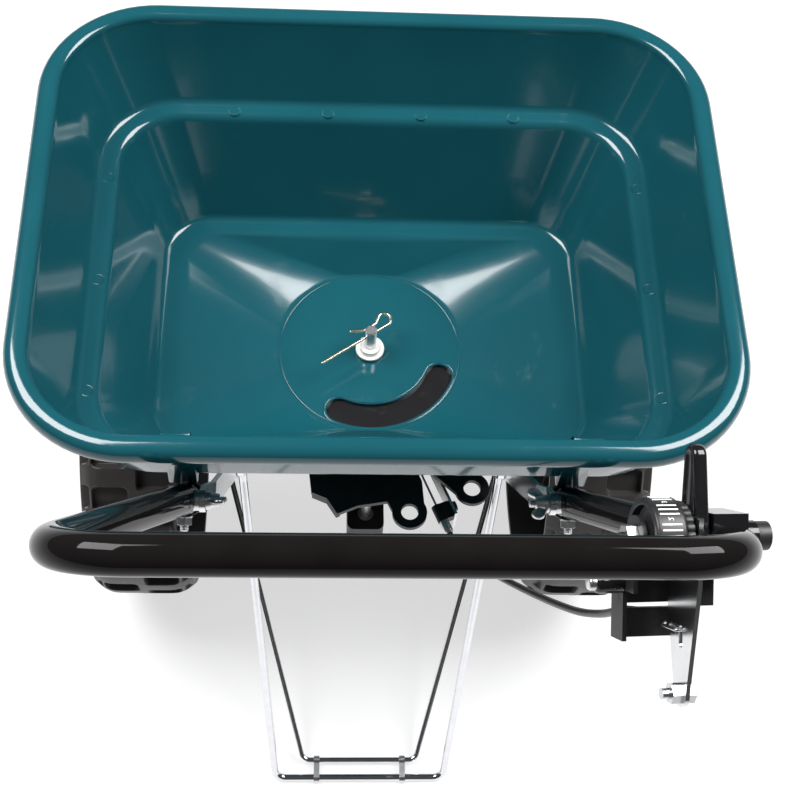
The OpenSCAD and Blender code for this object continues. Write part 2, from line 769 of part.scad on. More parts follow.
// Moulded wheel: crowned tread with two rows of pockets, dished web with spokes, hub
module wheel_solid(pinned) {
    r = wheel_r;
    w = wheel_w / 2;
    row_w = 27;
    pocket_r = r - tread_depth;
    difference() {
        union() {
            rotate([0, 90, 0]) rotate_extrude($fn = 120) polygon([
                [r - tread_t, -w], [r - 9, -w], [r - 3, -w + 7], [r, -w + 15],
                [r, w - 15], [r - 3, w - 7], [r - 9, w], [r - tread_t, w],
                [r - tread_t, web_t / 2], [wheel_hub_r, web_t / 2],
                [wheel_hub_r, -web_t / 2], [r - tread_t, -web_t / 2]]);
            xcyl(wheel_hub_r, -hub_w / 2, hub_w / 2);
            for (k = [0:spoke_n - 1]) rotate([k * 360 / spoke_n, 0, 0])
                translate([-web_t / 2 - spoke_h, -2.5, wheel_hub_r - 2])
                    cube([web_t + 2 * spoke_h, 5, r - tread_t - wheel_hub_r + 3]);
        }
        xcyl(axle_r + (pinned ? 0.01 : fit_gap), -w - 10, w + 10);
        for (side = [-1, 1]) for (k = [0:tread_n - 1])
            rotate([(k + (side > 0 ? 0.5 : 0)) * 360 / tread_n, 0, 0])
                translate([side * (row_w / 2 + 4) - row_w / 2, -PI * r / tread_n * 0.55, pocket_r])
                    cube([row_w, PI * r / tread_n * 1.1, tread_depth + 5]);
        for (side = [-1, 1]) for (k = [0:tread_n - 1])
            rotate([(k + (side > 0 ? 0.5 : 0)) * 360 / tread_n, 0, 0])
                translate([side * (w - 3.5) - 4, -PI * r / tread_n * 0.55, r - 8])
                    cube([8, PI * r / tread_n * 1.1, 12]);
        if (pinned) translate([hub_w / 2 - 8, 0, 0]) cylinder(r = 2.51, h = 60, center = true);
    }
}

module wheel_left() {
    color("#4a4546") place() translate([-wheel_x, 0, axle_z]) wheel_solid(true);
}

module wheel_right() {
    color("#4a4546") place() translate([wheel_x, 0, axle_z]) wheel_solid(false);
}

// Flat outline in the y-z plane along a line, as wide as the strut
module flat(p, q) {
    d = q - p;
    translate(p) rotate([0, 0, atan2(d[1], d[0])]) translate([0, -strut_w / 2]) square([norm(d), strut_w]);
}

// Side view of the strut: round top at the handle bolt, a knee, and an eye at the axle
module strut_outline() {
    flat(strut_top, knee);
    flat(knee, [0, axle_z]);
    translate(knee) circle(strut_w / 2);
    translate(strut_top) circle(strut_w / 2);
    translate(leg_at) circle(strut_w / 2 + 1);
    translate([0, axle_z]) circle(eye_r);
}

// Front view of the same bar: upright at both ends, leaning inwards between them
module strut_ribbon() {
    h = strut_t / 2;
    polygon([[strut_x - h, rim_z], [strut_x - h, jog_z1], [jog_x - h, jog_z2], [low_x - h, jog_z3],
        [low_x - h, axle_z - 30], [low_x + h, axle_z - 30], [low_x + h, jog_z3], [jog_x + h, jog_z2],
        [strut_x + h, jog_z1], [strut_x + h, rim_z]]);
}

module strut_solid() {
    difference() {
        intersection() {
            rotate([90, 0, 90]) linear_extrude(200) strut_outline();
            translate([0, 60, 0]) rotate([90, 0, 0]) linear_extrude(300) strut_ribbon();
        }
        translate([0, 0, axle_z]) xcyl(bushing_r + fit_gap, low_x - 10, low_x + 10);
        translate([0, strut_top[0], strut_top[1]]) xcyl(bolt_r + 0.1, strut_x - 10, strut_x + 10);
        at_leg() xcyl(bolt_r + 0.1, -10, 10);
    }
}

// Right-hand leg bolt: x along the bolt, square to the leaning strut
module at_leg() {
    translate([leg_at_x, leg_at[0], leg_at[1]]) rotate([0, lean_in, 0]) children();
}

module strut_right() {
    color("#c6c9cd") place() strut_solid();
}

module strut_left() {
    color("#c6c9cd") place() mirror([1, 0, 0]) strut_solid();
}

module axle_bushings() {
    color("#1a1a1c") place() both_sides() translate([low_x, 0, axle_z]) difference() {
        union() {
            xcyl(bushing_r, -strut_t / 2 - 3.5, strut_t / 2 + 4);
            xcyl(bushing_r + 3.5, strut_t / 2 + 0.3, strut_t / 2 + 4);
            xcyl(bushing_r + 3.5, -strut_t / 2 - 3.5, -strut_t / 2 - 0.3);
        }
        xcyl(axle_r + fit_gap, -20, 20);
    }
}

// U-shaped handle from one tube: two straight sides, two bends, the bar
module handle_path(r, ends = 0) {
    tip = low - tube_t * (tube_tail + ends);
    corner = low + tube_t * side_len;
    bent_rod([tip, corner, [-corner[0], corner[1], corner[2]], [-tip[0], tip[1], tip[2]]], bend_r, r, 0.1);
}

module handle_tube() {
    color("#0c0c0e") place() difference() {
        handle_path(tube_r);
        handle_path(tube_r - tube_wall, 2);
        both_sides() {
            translate([0, strut_top[0], strut_top[1]]) xcyl(bolt_r + 0.1, 100, 180);
            on_tube(bolt_s) rotate([90, 0, 0]) cylinder(r = bolt_r + 0.1, h = 60, center = true);
        }
        on_tube(control_s) translate([0, pivot_y, 0]) xcyl(pivot_r + 0.1, -30, 30);
    }
}

// Round-ended plastic caps over the lower ends of the tube
module tube_caps() {
    color("#1d1b1c") place() both_sides() on_tube(-tube_tail - cap_wall) {
        difference() {
            union() {
                cylinder(r = tube_r + cap_wall, h = 5);
                intersection() {
                    sphere(tube_r + cap_wall);
                    translate([-30, -30, -30]) cube([60, 60, 30 + eps]);
                }
            }
            translate([0, 0, cap_wall]) cylinder(r = tube_r + 0.02, h = 30);
        }
    }
}

// Bolts along x through the tube ends and the struts, with wing nuts inside
module handle_bolts() {
    out = low[0] + tube_t[0] * cross_s + tube_r + 0.6;
    color("silver") place() both_sides() translate([0, strut_top[0], strut_top[1]]) {
        xcyl(bolt_r, strut_x - strut_t / 2 - 14, out + 3);
        translate([out, 0, 0]) rotate([0, 90, 0]) hex(10, 4);
    }
}

// Washers shaped to the tube, between it and the struts
module tube_washers() {
    color("silver") place() both_sides() difference() {
        translate([0, strut_top[0], strut_top[1]]) xcyl(7, strut_x + strut_t / 2 + 0.2, low[0] - 5);
        translate([0, strut_top[0], strut_top[1]]) xcyl(bolt_r + 0.1, 100, 150);
        on_tube(-40) cylinder(r = tube_r + 0.1, h = 90);
    }
}

module wing_nuts() {
    x = strut_x - strut_t / 2 - 0.2;
    color("silver") place() {
        translate([x, strut_top[0], strut_top[1]]) wing_nut(-28);
        translate([-x, strut_top[0], strut_top[1]]) mirror([1, 0, 0]) wing_nut(62);
    }
}

// Wing nut along x, its wings turned by an angle
module wing_nut(turned) {
    difference() {
        union() {
            xcyl(6.5, -4, 0);
            xcyl(5.2, -9, 0);
            for (k = [0, 180]) rotate([turned + k, 0, 0]) translate([-8, 4, -1.2]) {
                cube([7, 7, 2.4]);
                translate([2.5, 8, 0]) cylinder(r = 4.5, h = 2.4);
            }
        }
        xcyl(bolt_r + 0.01, -20, 5);
    }
}

// Studs along the handle's normal, from the hopper's bosses through the tube
module tube_bolts() {
    color("silver") place() both_sides() on_tube(bolt_s) translate([0, -tube_r - 10, 0])
        rotate([-90, 0, 0]) cylinder(r = bolt_r, h = 2 * tube_r + 22);
}

module tube_nuts() {
    color("silver") place() both_sides() on_tube(bolt_s) translate([0, -tube_r - 0.2, 0])
        rotate([90, 0, 0]) difference() {
            union() {
                cylinder(d = 11.6, h = 1.4);
                translate([0, 0, 1.4]) hex(10, 5);
            }
            translate([0, 0, -1]) cylinder(r = bolt_r + 0.01, h = 9);
        }
}

// Wire stand: two legs with flattened ends and the foot bar between them, one bent rod
module leg_rod() {
    top = [leg_at_x - leg_off * cos(lean_in), leg_at[0], leg_at[1] + leg_off * sin(lean_in)];
    corner = [foot_x, -foot_y, leg_r];
    start = top + unit(corner - top) * 4.5;
    color("#d5d8db") place() difference() {
        union() {
            bent_rod([start, corner, [-corner[0], corner[1], corner[2]],
                [-start[0], start[1], start[2]]], 10, leg_r);
            both_sides() at_leg() xcyl(8.5, leg_tab_x - leg_tab, leg_tab_x);
        }
        both_sides() at_leg() xcyl(bolt_r + 0.02, -20, 10);
    }
}

module leg_bolts() {
    color("silver") place() both_sides() at_leg() {
        xcyl(bolt_r, leg_tab_x - leg_tab - 5.6, strut_t / 2 + 2);
        translate([strut_t / 2 + 0.2, 0, 0]) rotate([0, 90, 0]) hex(10, 4);
        translate([leg_tab_x - leg_tab - 5.8, 0, 0]) rotate([0, 90, 0]) hex(10, 5);
    }
}

// Brace: one bent rod from a flattened eye on the axle, across the foot, to the other eye
module brace_rod() {
    top = [brace_x, 0, axle_z];
    corner = [brace_foot_x, -brace_foot_y, brace_z];
    start = top + unit(corner - top) * (axle_r + 4.8);
    color("#d5d8db") place() difference() {
        union() {
            bent_rod([start, corner, [-corner[0], corner[1], corner[2]],
                [-start[0], start[1], start[2]]], 8, brace_r);
            both_sides() translate(top) xcyl(axle_r + 5.5, -brace_tab / 2, brace_tab / 2);
        }
        both_sides() translate(top) xcyl(axle_r + 0.1, -20, 20);
    }
}

// Strip clips that loop round the brace and hook over the foot bar
module foot_clips() {
    r1 = brace_r + 0.05;
    r2 = leg_r + 0.05;
    w = 5;
    t = 1.4;
    color("silver") place() for (k = [-1, 1]) translate([k * (brace_foot_x - 12), 0, 0])
        rotate([90, 0, 90]) translate([0, 0, -w / 2]) linear_extrude(w) difference() {
            union() {
                translate([-brace_foot_y, brace_z]) circle(r1 + t);
                translate([-foot_y, leg_r]) circle(r2 + t);
                translate([-foot_y, leg_r + r2]) square([foot_y - brace_foot_y, t]);
            }
            translate([-brace_foot_y, brace_z]) circle(r1);
            translate([-foot_y, leg_r]) circle(r2);
            translate([-foot_y, -5]) square([8, leg_r + r2 + 5]);
            translate([-foot_y - 8, -5]) square([12, 6.5]);
        }
}

// Steel bracket under the base plate that holds the lower end of the cable
module cable_bracket() {
    side = 9;
    color("#aeb2b7") place() rotate([0, 0, port_dir]) translate([0, 0, base_z]) difference() {
        union() {
            translate([88, side, -2.4]) cube([20, 14, 2.2]);
            translate([88, side, -20]) cube([66, 2.2, 18]);
            translate([clip_r - 9, side, -30]) cube([18, 2.2, 26]);
        }
        translate([98, side + 8, -3]) cylinder(r = 2.1, h = 5);
        translate([clip_r, 0, clip_at[2] - base_z]) rotate([-90, 0, 0]) cylinder(r = 2.1, h = 20);
    }
}

// Plastic clip that grips the sheath against the bracket
module cable_clip() {
    color("#111113") place() rotate([0, 0, port_dir]) translate([clip_r, 0, clip_at[2]]) difference() {
        union() {
            xcyl(sheath_d / 2 + 2, -5, 9);
            translate([-5, 0, -4]) cube([14, 8.8, 8]);
            translate([0, 11.4, 0]) rotate([-90, 0, 0]) cylinder(r = 4, h = 3);
            translate([0, 5, 0]) rotate([-90, 0, 0]) cylinder(r = 2, h = 8);
        }
        xcyl(sheath_d / 2 + 0.01, -1, 20);
        xcyl(wire_d / 2 + 0.1, -10, 5);
    }
}

// Cable sheath as one tube along the chosen points, bored where the wires slide
module cable_sheath() {
    upper = [for (k = [0:3]) sheath_top - tube_t * k * bore_l / 3];
    lower = [for (k = [3:-1:0]) clip_at + port_vec * k * bore_l / 3];
    color("#3a3b3e") place() difference() {
        tube_along(smooth(concat(upper, cable_pts, lower), 4), sheath_d / 2, 10);
        rod(sheath_top + tube_t, sheath_top - tube_t * bore_l, wire_d / 2 + 0.1);
        rod(clip_at - port_vec, clip_at + port_vec * bore_l, wire_d / 2 + 0.1);
    }
}

// Points on a smooth curve through the chosen ones
function bend_at(p0, p1, p2, p3, t) = 0.5 * (2 * p1 + (p2 - p0) * t
    + (2 * p0 - 5 * p1 + 4 * p2 - p3) * t * t + (3 * p1 - p0 - 3 * p2 + p3) * t * t * t);
function smooth(p, n) = concat([for (i = [0:len(p) - 2]) for (k = [0:n - 1])
    bend_at(p[max(i - 1, 0)], p[i], p[i + 1], p[min(i + 2, len(p) - 1)], k / n)],
    [p[len(p) - 1]]);
function unit(v) = v / norm(v);

// One closed tube through all the points, each ring square to the path
module tube_along(p, r, sides) {
    last = len(p) - 1;
    dirs = [for (i = [0:last]) unit(p[min(i + 1, last)] - p[max(i - 1, 0)])];
    side = [for (i = [0:last]) unit(cross(dirs[i], [0.2, 0.1, 1]))];
    up = [for (i = [0:last]) cross(side[i], dirs[i])];
    ring = [for (i = [0:last]) for (k = [0:sides - 1])
        p[i] + r * (cos(360 * k / sides) * side[i] + sin(360 * k / sides) * up[i])];
    walls = [for (i = [0:last - 1]) for (k = [0:sides - 1])
        [i * sides + k, (i + 1) * sides + k, (i + 1) * sides + (k + 1) % sides,
            i * sides + (k + 1) % sides]];
    tris = [for (w = walls) each [[w[0], w[1], w[2]], [w[0], w[2], w[3]]]];
    caps = concat([for (k = [1:sides - 2]) [0, k, k + 1]],
        [for (k = [1:sides - 2]) [last * sides, last * sides + k + 1, last * sides + k]]);
    polyhedron(points = ring, faces = concat(tris, caps));
}

// Saddle clamped round the tube, with the seat of the lever's pivot
module control_saddle() {
    color("#121214") place() on_tube(control_s) translate([0, 0, saddle_up - saddle_l]) difference() {
        union() {
            translate([-tube_r + 1, -tube_r - 4, 0])
                cube([2 * tube_r - 2, 2 * tube_r + 10, saddle_l]);
            cylinder(r = tube_r + 1.8, h = saddle_l);
            translate([tube_r - 2, pivot_y, saddle_l - saddle_up]) xcyl(8.5, 0, 8);
        }
        translate([0, 0, -10]) cylinder(r = tube_r + 0.02, h = saddle_l + 20);
        translate([0, pivot_y, saddle_l - saddle_up]) xcyl(pivot_r + 0.05, -60, 60);
    }
}

// Side plate beyond the dial: it carries the pivot's far end and the cable's stop
module control_bracket() {
    low_y = pivot_y - hook_r - 8;
    color("#17181a") place() on_tube(control_s) difference() {
        union() {
            translate([bracket_x, pivot_y, 0]) xcyl(12, -bracket_t / 2, bracket_t / 2);
            translate([bracket_x - bracket_t / 2, pivot_y - 30, -24]) cube([bracket_t, 30, 24]);
            translate([bracket_x - bracket_t / 2, low_y, -30]) cube([bracket_t, hook_r - 20, 16]);
            translate([bracket_x, low_y, -30]) cube([arm_x - bracket_x + 6, 16, 4]);
            translate([-tube_r + 1, -tube_r - 8, -30]) cube([10, 10, 4]);
            translate([bracket_x, -tube_r - 24, -30]) cube([-bracket_x - tube_r + 11, 14, 4]);
            translate([-tube_r + 1, -tube_r - 24, -30]) cube([10, 20, 20]);
            translate([arm_x, pivot_y - hook_r, -30 - 12]) cylinder(r = sheath_d / 2 + 2.5, h = 16);
        }
        translate([0, pivot_y, 0]) xcyl(pivot_r + 0.05, -90, 60);
        translate([arm_x, pivot_y - hook_r, -50]) cylinder(r = sheath_d / 2 + 0.02, h = 22);
        translate([arm_x, pivot_y - hook_r, -50]) cylinder(r = wire_d / 2 + 0.3, h = 60);
        translate([0, 0, -saddle_l]) cylinder(r = tube_r + 0.02, h = 2 * saddle_l);
    }
}

module pivot_bolt() {
    color("#2a2b2e") place() on_tube(control_s) translate([0, pivot_y, 0]) {
        xcyl(pivot_r, bracket_x - bracket_t / 2 - 8, tube_r + 13);
        xcyl(8, tube_r + 6.3, tube_r + 14);
    }
}

module pivot_nut() {
    color("silver") place() on_tube(control_s) translate([bracket_x - bracket_t / 2 - 0.2, pivot_y, 0])
        rotate([0, -90, 0]) difference() {
            hex(13, 6);
            translate([0, 0, -1]) cylinder(r = pivot_r + 0.01, h = 9);
        }
}

// Grooved thumb lever that stands forward of the tube
module control_lever() {
    color("#0b0b0d") place() on_tube(control_s) translate([lever_x, pivot_y, 0]) difference() {
        union() {
            xcyl(12, -lever_t / 2, lever_t / 2);
            translate([-lever_t / 2, 0, -7]) cube([lever_t, lever_len - 7, 14]);
            translate([0, lever_len - 7, 0]) xcyl(7, -lever_t / 2, lever_t / 2);
        }
        xcyl(pivot_r + fit_gap, -20, 20);
        for (x = [-lever_t / 2 - 1, lever_t / 2 - 1]) translate([x, 14, -3.5])
            cube([2, lever_len - 24, 7]);
    }
}

// Tapered steel arm fixed to the lever, with the cable hook's slot and a stop bolt
module lever_arm() {
    y1 = -arm_l;
    color("#c9ccd1") place() on_tube(control_s) translate([arm_x - arm_t / 2, pivot_y, 0]) difference() {
        union() {
            rotate([90, 0, 90]) linear_extrude(arm_t) polygon([
                [12, -arm_top_w / 2], [-24, -arm_top_w / 2], [y1, -arm_low_w / 2],
                [y1, arm_low_w / 2], [-24, arm_top_w / 2], [12, arm_top_w / 2]]);
            translate([0, y1, 0]) xcyl(arm_low_w / 2, 0, arm_t);
        }
        xcyl(pivot_r + fit_gap, -20, 20);
        translate([0, y1, 0]) xcyl(bolt_r + 0.05, -20, 20);
        for (dy = [-slot_l, 0]) translate([0, -hook_r + dy, 0]) xcyl(slot_r, -20, 20);
        translate([-20, -hook_r - slot_l, -slot_r]) cube([40, slot_l, 2 * slot_r]);
    }
}

module arm_bolt() {
    color("silver") place() on_tube(control_s) translate([arm_x, pivot_y - arm_l, 0]) {
        xcyl(bolt_r, -12, 8);
        translate([arm_t / 2 + 0.1, 0, 0]) rotate([0, 90, 0]) hex(10, 5);
        translate([-arm_t / 2 - 6, 0, 0]) rotate([0, 90, 0]) hex(10, 5.9);
    }
}

// Upper end of the inner wire: it slides in the sheath and hooks into the arm
module control_wire() {
    x1 = -arm_t / 2 - 3;
    color("#b9bcc0") place() on_tube(control_s) translate([arm_x, pivot_y - hook_r, 0])
        bent_rod([[-x1 + 1.5, 0, 0], [x1, 0, 0], [x1, 0, -17.5], [0, 0, -22.5], [0, 0, seat_s - gate_travel - 2]],
            1.8, wire_d / 2);
}

// Thumbwheel that sets the rate, with raised scale bars round its rim
module rate_dial() {
    r = dial_d / 2;
    x2 = dial_x1 - ring_w2 - 0.3;
    x1 = x2 - dial_w + 0.3;
    color("#1c1c1f") place() on_tube(control_s) translate([0, pivot_y, 0]) difference() {
        union() {
            xcyl(r, x1, x2);
            for (k = [0:dial_marks - 1]) rotate([k * 360 / dial_marks, 0, 0])
                translate([x1 + 2, -0.6, r - 1]) cube([dial_w - 4.3, 1.2, 1.6]);
        }
        xcyl(pivot_r + fit_gap, x1 - 5, x2 + 5);
        difference() {
            xcyl(r - 4, x1 - 1, x1 + 5);
            xcyl(9, x1 - 2, x1 + 6);
        }
    }
}

// Knurled ring beside the dial, turned with it
module dial_ring() {
    r = dial_d / 2 - 2;
    x1 = dial_x1 - ring_w2;
    color("#101012") place() on_tube(control_s) translate([0, pivot_y, 0]) difference() {
        xcyl(r, x1, dial_x1);
        xcyl(pivot_r + fit_gap, x1 - 5, dial_x1 + 5);
        for (k = [0:knurl_n - 1]) rotate([k * 360 / knurl_n, 0, 0]) translate([0, 0, r + 0.4])
            xcyl(1.5, x1 - 1, dial_x1 + 1);
    }
}

// Black knob with a bright end below the dial
module stop_knob() {
    color("#0e0e10") place() on_tube(control_s) translate([bracket_x - bracket_t / 2 - 0.1, pivot_y - 26, -16]) {
        xcyl(stop_d / 2, -stop_l + 4, 0);
        xcyl(stop_d / 2 - 1.5, -stop_l, 0);
    }
}

hopper();
base_plate();
base_screws();
shaft_bushing();
slide_gate();
gate_wire();
gearbox_left();
gearbox_right();
gearbox_screws();
torque_pin();
drive_shaft();
shaft_pinion();
spinner();
spinner_pin();
agitator_clip();
axle();
ring_gear();
gear_pin();
axle_spacers();
axle_washers();
axle_clips();
drive_pin();
wheel_left();
wheel_right();
strut_left();
strut_right();
axle_bushings();
handle_tube();
tube_caps();
handle_bolts();
wing_nuts();
tube_washers();
tube_bolts();
tube_nuts();
leg_rod();
leg_bolts();
brace_rod();
foot_clips();
cable_bracket();
cable_clip();
cable_sheath();
control_saddle();
control_bracket();
pivot_bolt();
pivot_nut();
control_lever();
lever_arm();
arm_bolt();
control_wire();
rate_dial();
dial_ring();
stop_knob();
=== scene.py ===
"""Looks of a push broadcast spreader: moulded hopper, tube handle, rate control, wheels and wire stand."""

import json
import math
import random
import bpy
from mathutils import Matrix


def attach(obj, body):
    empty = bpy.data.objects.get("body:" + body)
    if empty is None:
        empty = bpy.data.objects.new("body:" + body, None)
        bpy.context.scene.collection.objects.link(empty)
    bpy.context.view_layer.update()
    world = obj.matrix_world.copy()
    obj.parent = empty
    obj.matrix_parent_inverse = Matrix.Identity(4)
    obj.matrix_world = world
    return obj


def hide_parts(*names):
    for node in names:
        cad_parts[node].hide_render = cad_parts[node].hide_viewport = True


bl_info = {
    "name": "Push Broadcast Spreader",
    "version": (1, 0, 0),
    "blender": (4, 5, 0),
    "location": "3D View > Sidebar > Spreader",
    "description": "Dresses the spreader's frame with its moulded, painted and plated pieces",
    "category": "Add Mesh",
}

import bmesh
import bpy
import numpy as np
from mathutils import Matrix, Vector

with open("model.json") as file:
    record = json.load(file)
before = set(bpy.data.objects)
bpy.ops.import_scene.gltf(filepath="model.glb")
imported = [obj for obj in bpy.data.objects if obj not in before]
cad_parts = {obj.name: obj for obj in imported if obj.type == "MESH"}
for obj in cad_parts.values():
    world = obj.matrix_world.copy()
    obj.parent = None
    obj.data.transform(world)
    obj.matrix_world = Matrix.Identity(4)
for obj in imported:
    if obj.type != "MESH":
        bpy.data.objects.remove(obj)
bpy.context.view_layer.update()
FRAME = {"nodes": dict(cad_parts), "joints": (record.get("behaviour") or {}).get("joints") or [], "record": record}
JOINTS = {j["name"]: j for j in FRAME["joints"]}
SLOT_OF = {p["node"]: p["material_slot"] for p in FRAME["record"]["subparts"]}
MM = 0.001
# The working frame has the axle over y = 0; the row frame is moved forward by this
SHIFT_Y = JOINTS["axle_spin"]["pos_m"][1]
AXLE_Z = JOINTS["axle_spin"]["pos_m"][2] * 1000


# Settings


class HopperSettings(bpy.types.PropertyGroup):
    """Sizes and colour of the moulded hopper"""

    rim_height: bpy.props.FloatProperty(
        name="Rim height", description="Height of the rim above the floor", default=0.47, unit="LENGTH"
    )
    wall: bpy.props.FloatProperty(
        name="Wall", description="Thickness of the moulded wall", default=0.003, unit="LENGTH"
    )
    colour: bpy.props.FloatVectorProperty(
        name="Colour", description="Colour of the moulded plastic", subtype="COLOR", size=3,
        default=(0.005, 0.066, 0.085), min=0, max=1,
    )


class HandleSettings(bpy.types.PropertyGroup):
    """Sizes and paint of the tube handle"""

    tube: bpy.props.FloatProperty(
        name="Tube", description="Outside diameter of the tube", default=0.0222, unit="LENGTH"
    )
    bend: bpy.props.FloatProperty(
        name="Bend", description="Centreline radius of the bends", default=0.042, unit="LENGTH"
    )
    paint: bpy.props.FloatVectorProperty(
        name="Paint", description="Colour of the gloss paint", subtype="COLOR", size=3,
        default=(0.006, 0.005, 0.005), min=0, max=1,
    )


class WheelSettings(bpy.types.PropertyGroup):
    """Sizes of the wheels"""

    lugs: bpy.props.IntProperty(
        name="Pockets", description="Pockets in each row of the tread", default=24, min=8, max=60
    )
    colour: bpy.props.FloatVectorProperty(
        name="Colour", description="Colour of the wheel's plastic", subtype="COLOR", size=3,
        default=(0.032, 0.028, 0.027), min=0, max=1,
    )


# Mesh helpers


def to_row(points):
    """Millimetres in the working frame to metres in the row frame."""
    p = np.asarray(points, float) * MM
    p[:, 1] += SHIFT_Y
    return p


def new_mesh(name, verts, faces, sharp=None, clean=True):
    """A mesh object from millimetre points; sharp is the angle past which edges stay crisp."""
    mesh = bpy.data.meshes.new(name)
    mesh.from_pydata([tuple(v) for v in to_row(verts)], [], [tuple(f) for f in faces])
    if clean:
        bm = bmesh.new()
        bm.from_mesh(mesh)
        bmesh.ops.remove_doubles(bm, verts=bm.verts, dist=1e-6)
        bmesh.ops.recalc_face_normals(bm, faces=bm.faces)
        bm.to_mesh(mesh)
        bm.free()
    mesh.shade_smooth()
    if sharp is not None:
        mesh.set_sharp_from_angle(angle=math.radians(sharp))
    obj = bpy.data.objects.new(name, mesh)
    bpy.context.scene.collection.objects.link(obj)
    return obj


def apply_modifiers(obj, sharp=None):
    """Turns the object with its modifiers into a plain mesh."""
    bpy.context.view_layer.update()
    evaluated = obj.evaluated_get(bpy.context.evaluated_depsgraph_get())
    mesh = bpy.data.meshes.new_from_object(evaluated)
    obj.modifiers.clear()
    old = obj.data
    obj.data = mesh
    mesh.name = obj.name
    if old.users == 0:
        bpy.data.meshes.remove(old)
    if sharp is not None:
        mesh.shade_smooth()
        mesh.set_sharp_from_angle(angle=math.radians(sharp))
    return obj


def weld(obj, sharp):
    """Joins the edges that copies share and turns all faces outwards."""
    bm = bmesh.new()
    bm.from_mesh(obj.data)
    bmesh.ops.remove_doubles(bm, verts=bm.verts, dist=2e-5)
    bmesh.ops.recalc_face_normals(bm, faces=bm.faces)
    bm.to_mesh(obj.data)
    bm.free()
    obj.data.shade_smooth()
    obj.data.set_sharp_from_angle(angle=math.radians(sharp))


def finish_piece(obj, body, material, nodes=()):
    """Gives the piece its material, ties it to its body and hides the solids it stands for."""
    obj.data.materials.clear()
    obj.data.materials.append(material)
    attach(obj, body)
    if nodes:
        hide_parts(*nodes)
    return obj


def unit(v):
    v = np.asarray(v, float)
    return v / np.linalg.norm(v)


def rounded_path(points, radius, steps=10):
    """Polyline with an arc at each inner corner."""
    points = [np.asarray(p, float) for p in points]
    radii = radius if hasattr(radius, "__len__") else [radius] * len(points)
    out = [points[0]]
    for i in range(1, len(points) - 1):
        a, b = unit(points[i] - points[i - 1]), unit(points[i + 1] - points[i])
        turn = math.acos(max(-1.0, min(1.0, float(a @ b))))
        if turn < 1e-4 or radii[i] <= 0:
            out.append(points[i])
            continue
        run = radii[i] * math.tan(turn / 2)
        axis = unit(np.cross(a, b))
        inward = np.cross(axis, a)
        start = points[i] - a * run
        centre = start + inward * radii[i]
        for k in range(steps + 1):
            t = turn * k / steps
            out.append(centre - inward * radii[i] * math.cos(t) + a * radii[i] * math.sin(t))
    out.append(points[-1])
    return np.array(out)


def smooth_path(points, steps):
    """Smooth curve through the points."""
    p = np.asarray(points, float)
    last = len(p) - 1
    out = []
    for i in range(last):
        p0, p1, p2, p3 = p[max(i - 1, 0)], p[i], p[i + 1], p[min(i + 2, last)]
        for k in range(steps):
            t = k / steps
            out.append(0.5 * (2 * p1 + (p2 - p0) * t + (2 * p0 - 5 * p1 + 4 * p2 - p3) * t * t
                              + (3 * p1 - p0 - 3 * p2 + p3) * t ** 3))
    out.append(p[last])
    return np.array(out)


def carried_frames(path):
    """Sideways and upward directions carried along the path without twist."""
    tangents = np.gradient(path, axis=0)
    tangents /= np.linalg.norm(tangents, axis=1)[:, None]
    side = np.cross(tangents[0], [0.13, 0.21, 0.97])
    side /= np.linalg.norm(side)
    sides = [side]
    for i in range(1, len(path)):
        s = sides[-1] - tangents[i] * float(sides[-1] @ tangents[i])
        sides.append(s / np.linalg.norm(s))
    sides = np.array(sides)
    return sides, np.cross(tangents, sides)


def sweep(path, radius, sides=16, ends="flat"):
    """Tube along a path: vertices and faces. radius may vary along it; ends are flat or round."""
    path = np.asarray(path, float)
    if hasattr(radius, "__len__"):
        radius = np.asarray(radius, float)
    else:
        radius = np.full(len(path), radius, float)
    if ends == "round":
        caps = [0.0, 0.2, 0.55, 0.85]
        d0, d1 = unit(path[1] - path[0]), unit(path[-1] - path[-2])
        r0, r1 = radius[0], radius[-1]
        head = [path[0] + d0 * r0 * (c - 1) for c in caps]
        tail = [path[-1] - d1 * r1 * (c - 1) for c in caps[::-1]]
        path = np.vstack([head, path, tail])
        wide = [math.sqrt(max(0.0, 1 - (1 - c) ** 2)) for c in caps]
        first = [max(w, 0.02) * r0 for w in wide]
        last = [max(w, 0.02) * r1 for w in wide[::-1]]
        radius = np.concatenate([first, radius, last])
    s, u = carried_frames(path)
    angle = np.linspace(0, 2 * math.pi, sides, endpoint=False)
    around = np.cos(angle)[None, :, None] * s[:, None, :] + np.sin(angle)[None, :, None] * u[:, None, :]
    verts = (path[:, None, :] + radius[:, None, None] * around).reshape(-1, 3)
    n = len(path)
    faces = [
        (i * sides + k, i * sides + (k + 1) % sides, (i + 1) * sides + (k + 1) % sides, (i + 1) * sides + k)
        for i in range(n - 1) for k in range(sides)]
    faces.append(tuple(range(sides))[::-1])
    faces.append(tuple((n - 1) * sides + k for k in range(sides)))
    return verts, faces


def turn_profile(profile, origin, axis, steps=48):
    """Solid of revolution: profile is (distance along the axis, radius) from end to end."""
    axis = unit(axis)
    side = unit(np.cross(axis, [0.31, 0.17, 0.93] if abs(axis[2]) < 0.9 else [1, 0, 0]))
    up = np.cross(axis, side)
    origin = np.asarray(origin, float)
    verts, faces = [], []
    angles = np.linspace(0, 2 * math.pi, steps, endpoint=False)
    closed = len(profile) > 2 and tuple(profile[0]) == tuple(profile[-1])
    rings = profile[:-1] if closed else profile
    for along, radius in rings:
        for a in angles:
            verts.append(origin + axis * along + radius * (math.cos(a) * side + math.sin(a) * up))
    m = len(rings)
    for i in range(m if closed else m - 1):
        j = (i + 1) % m
        for k in range(steps):
            after = (k + 1) % steps
            faces.append((i * steps + k, i * steps + after, j * steps + after, j * steps + k))
    if not closed:
        faces.append(tuple(range(steps))[::-1])
        faces.append(tuple((m - 1) * steps + k for k in range(steps)))
    return np.array(verts), faces


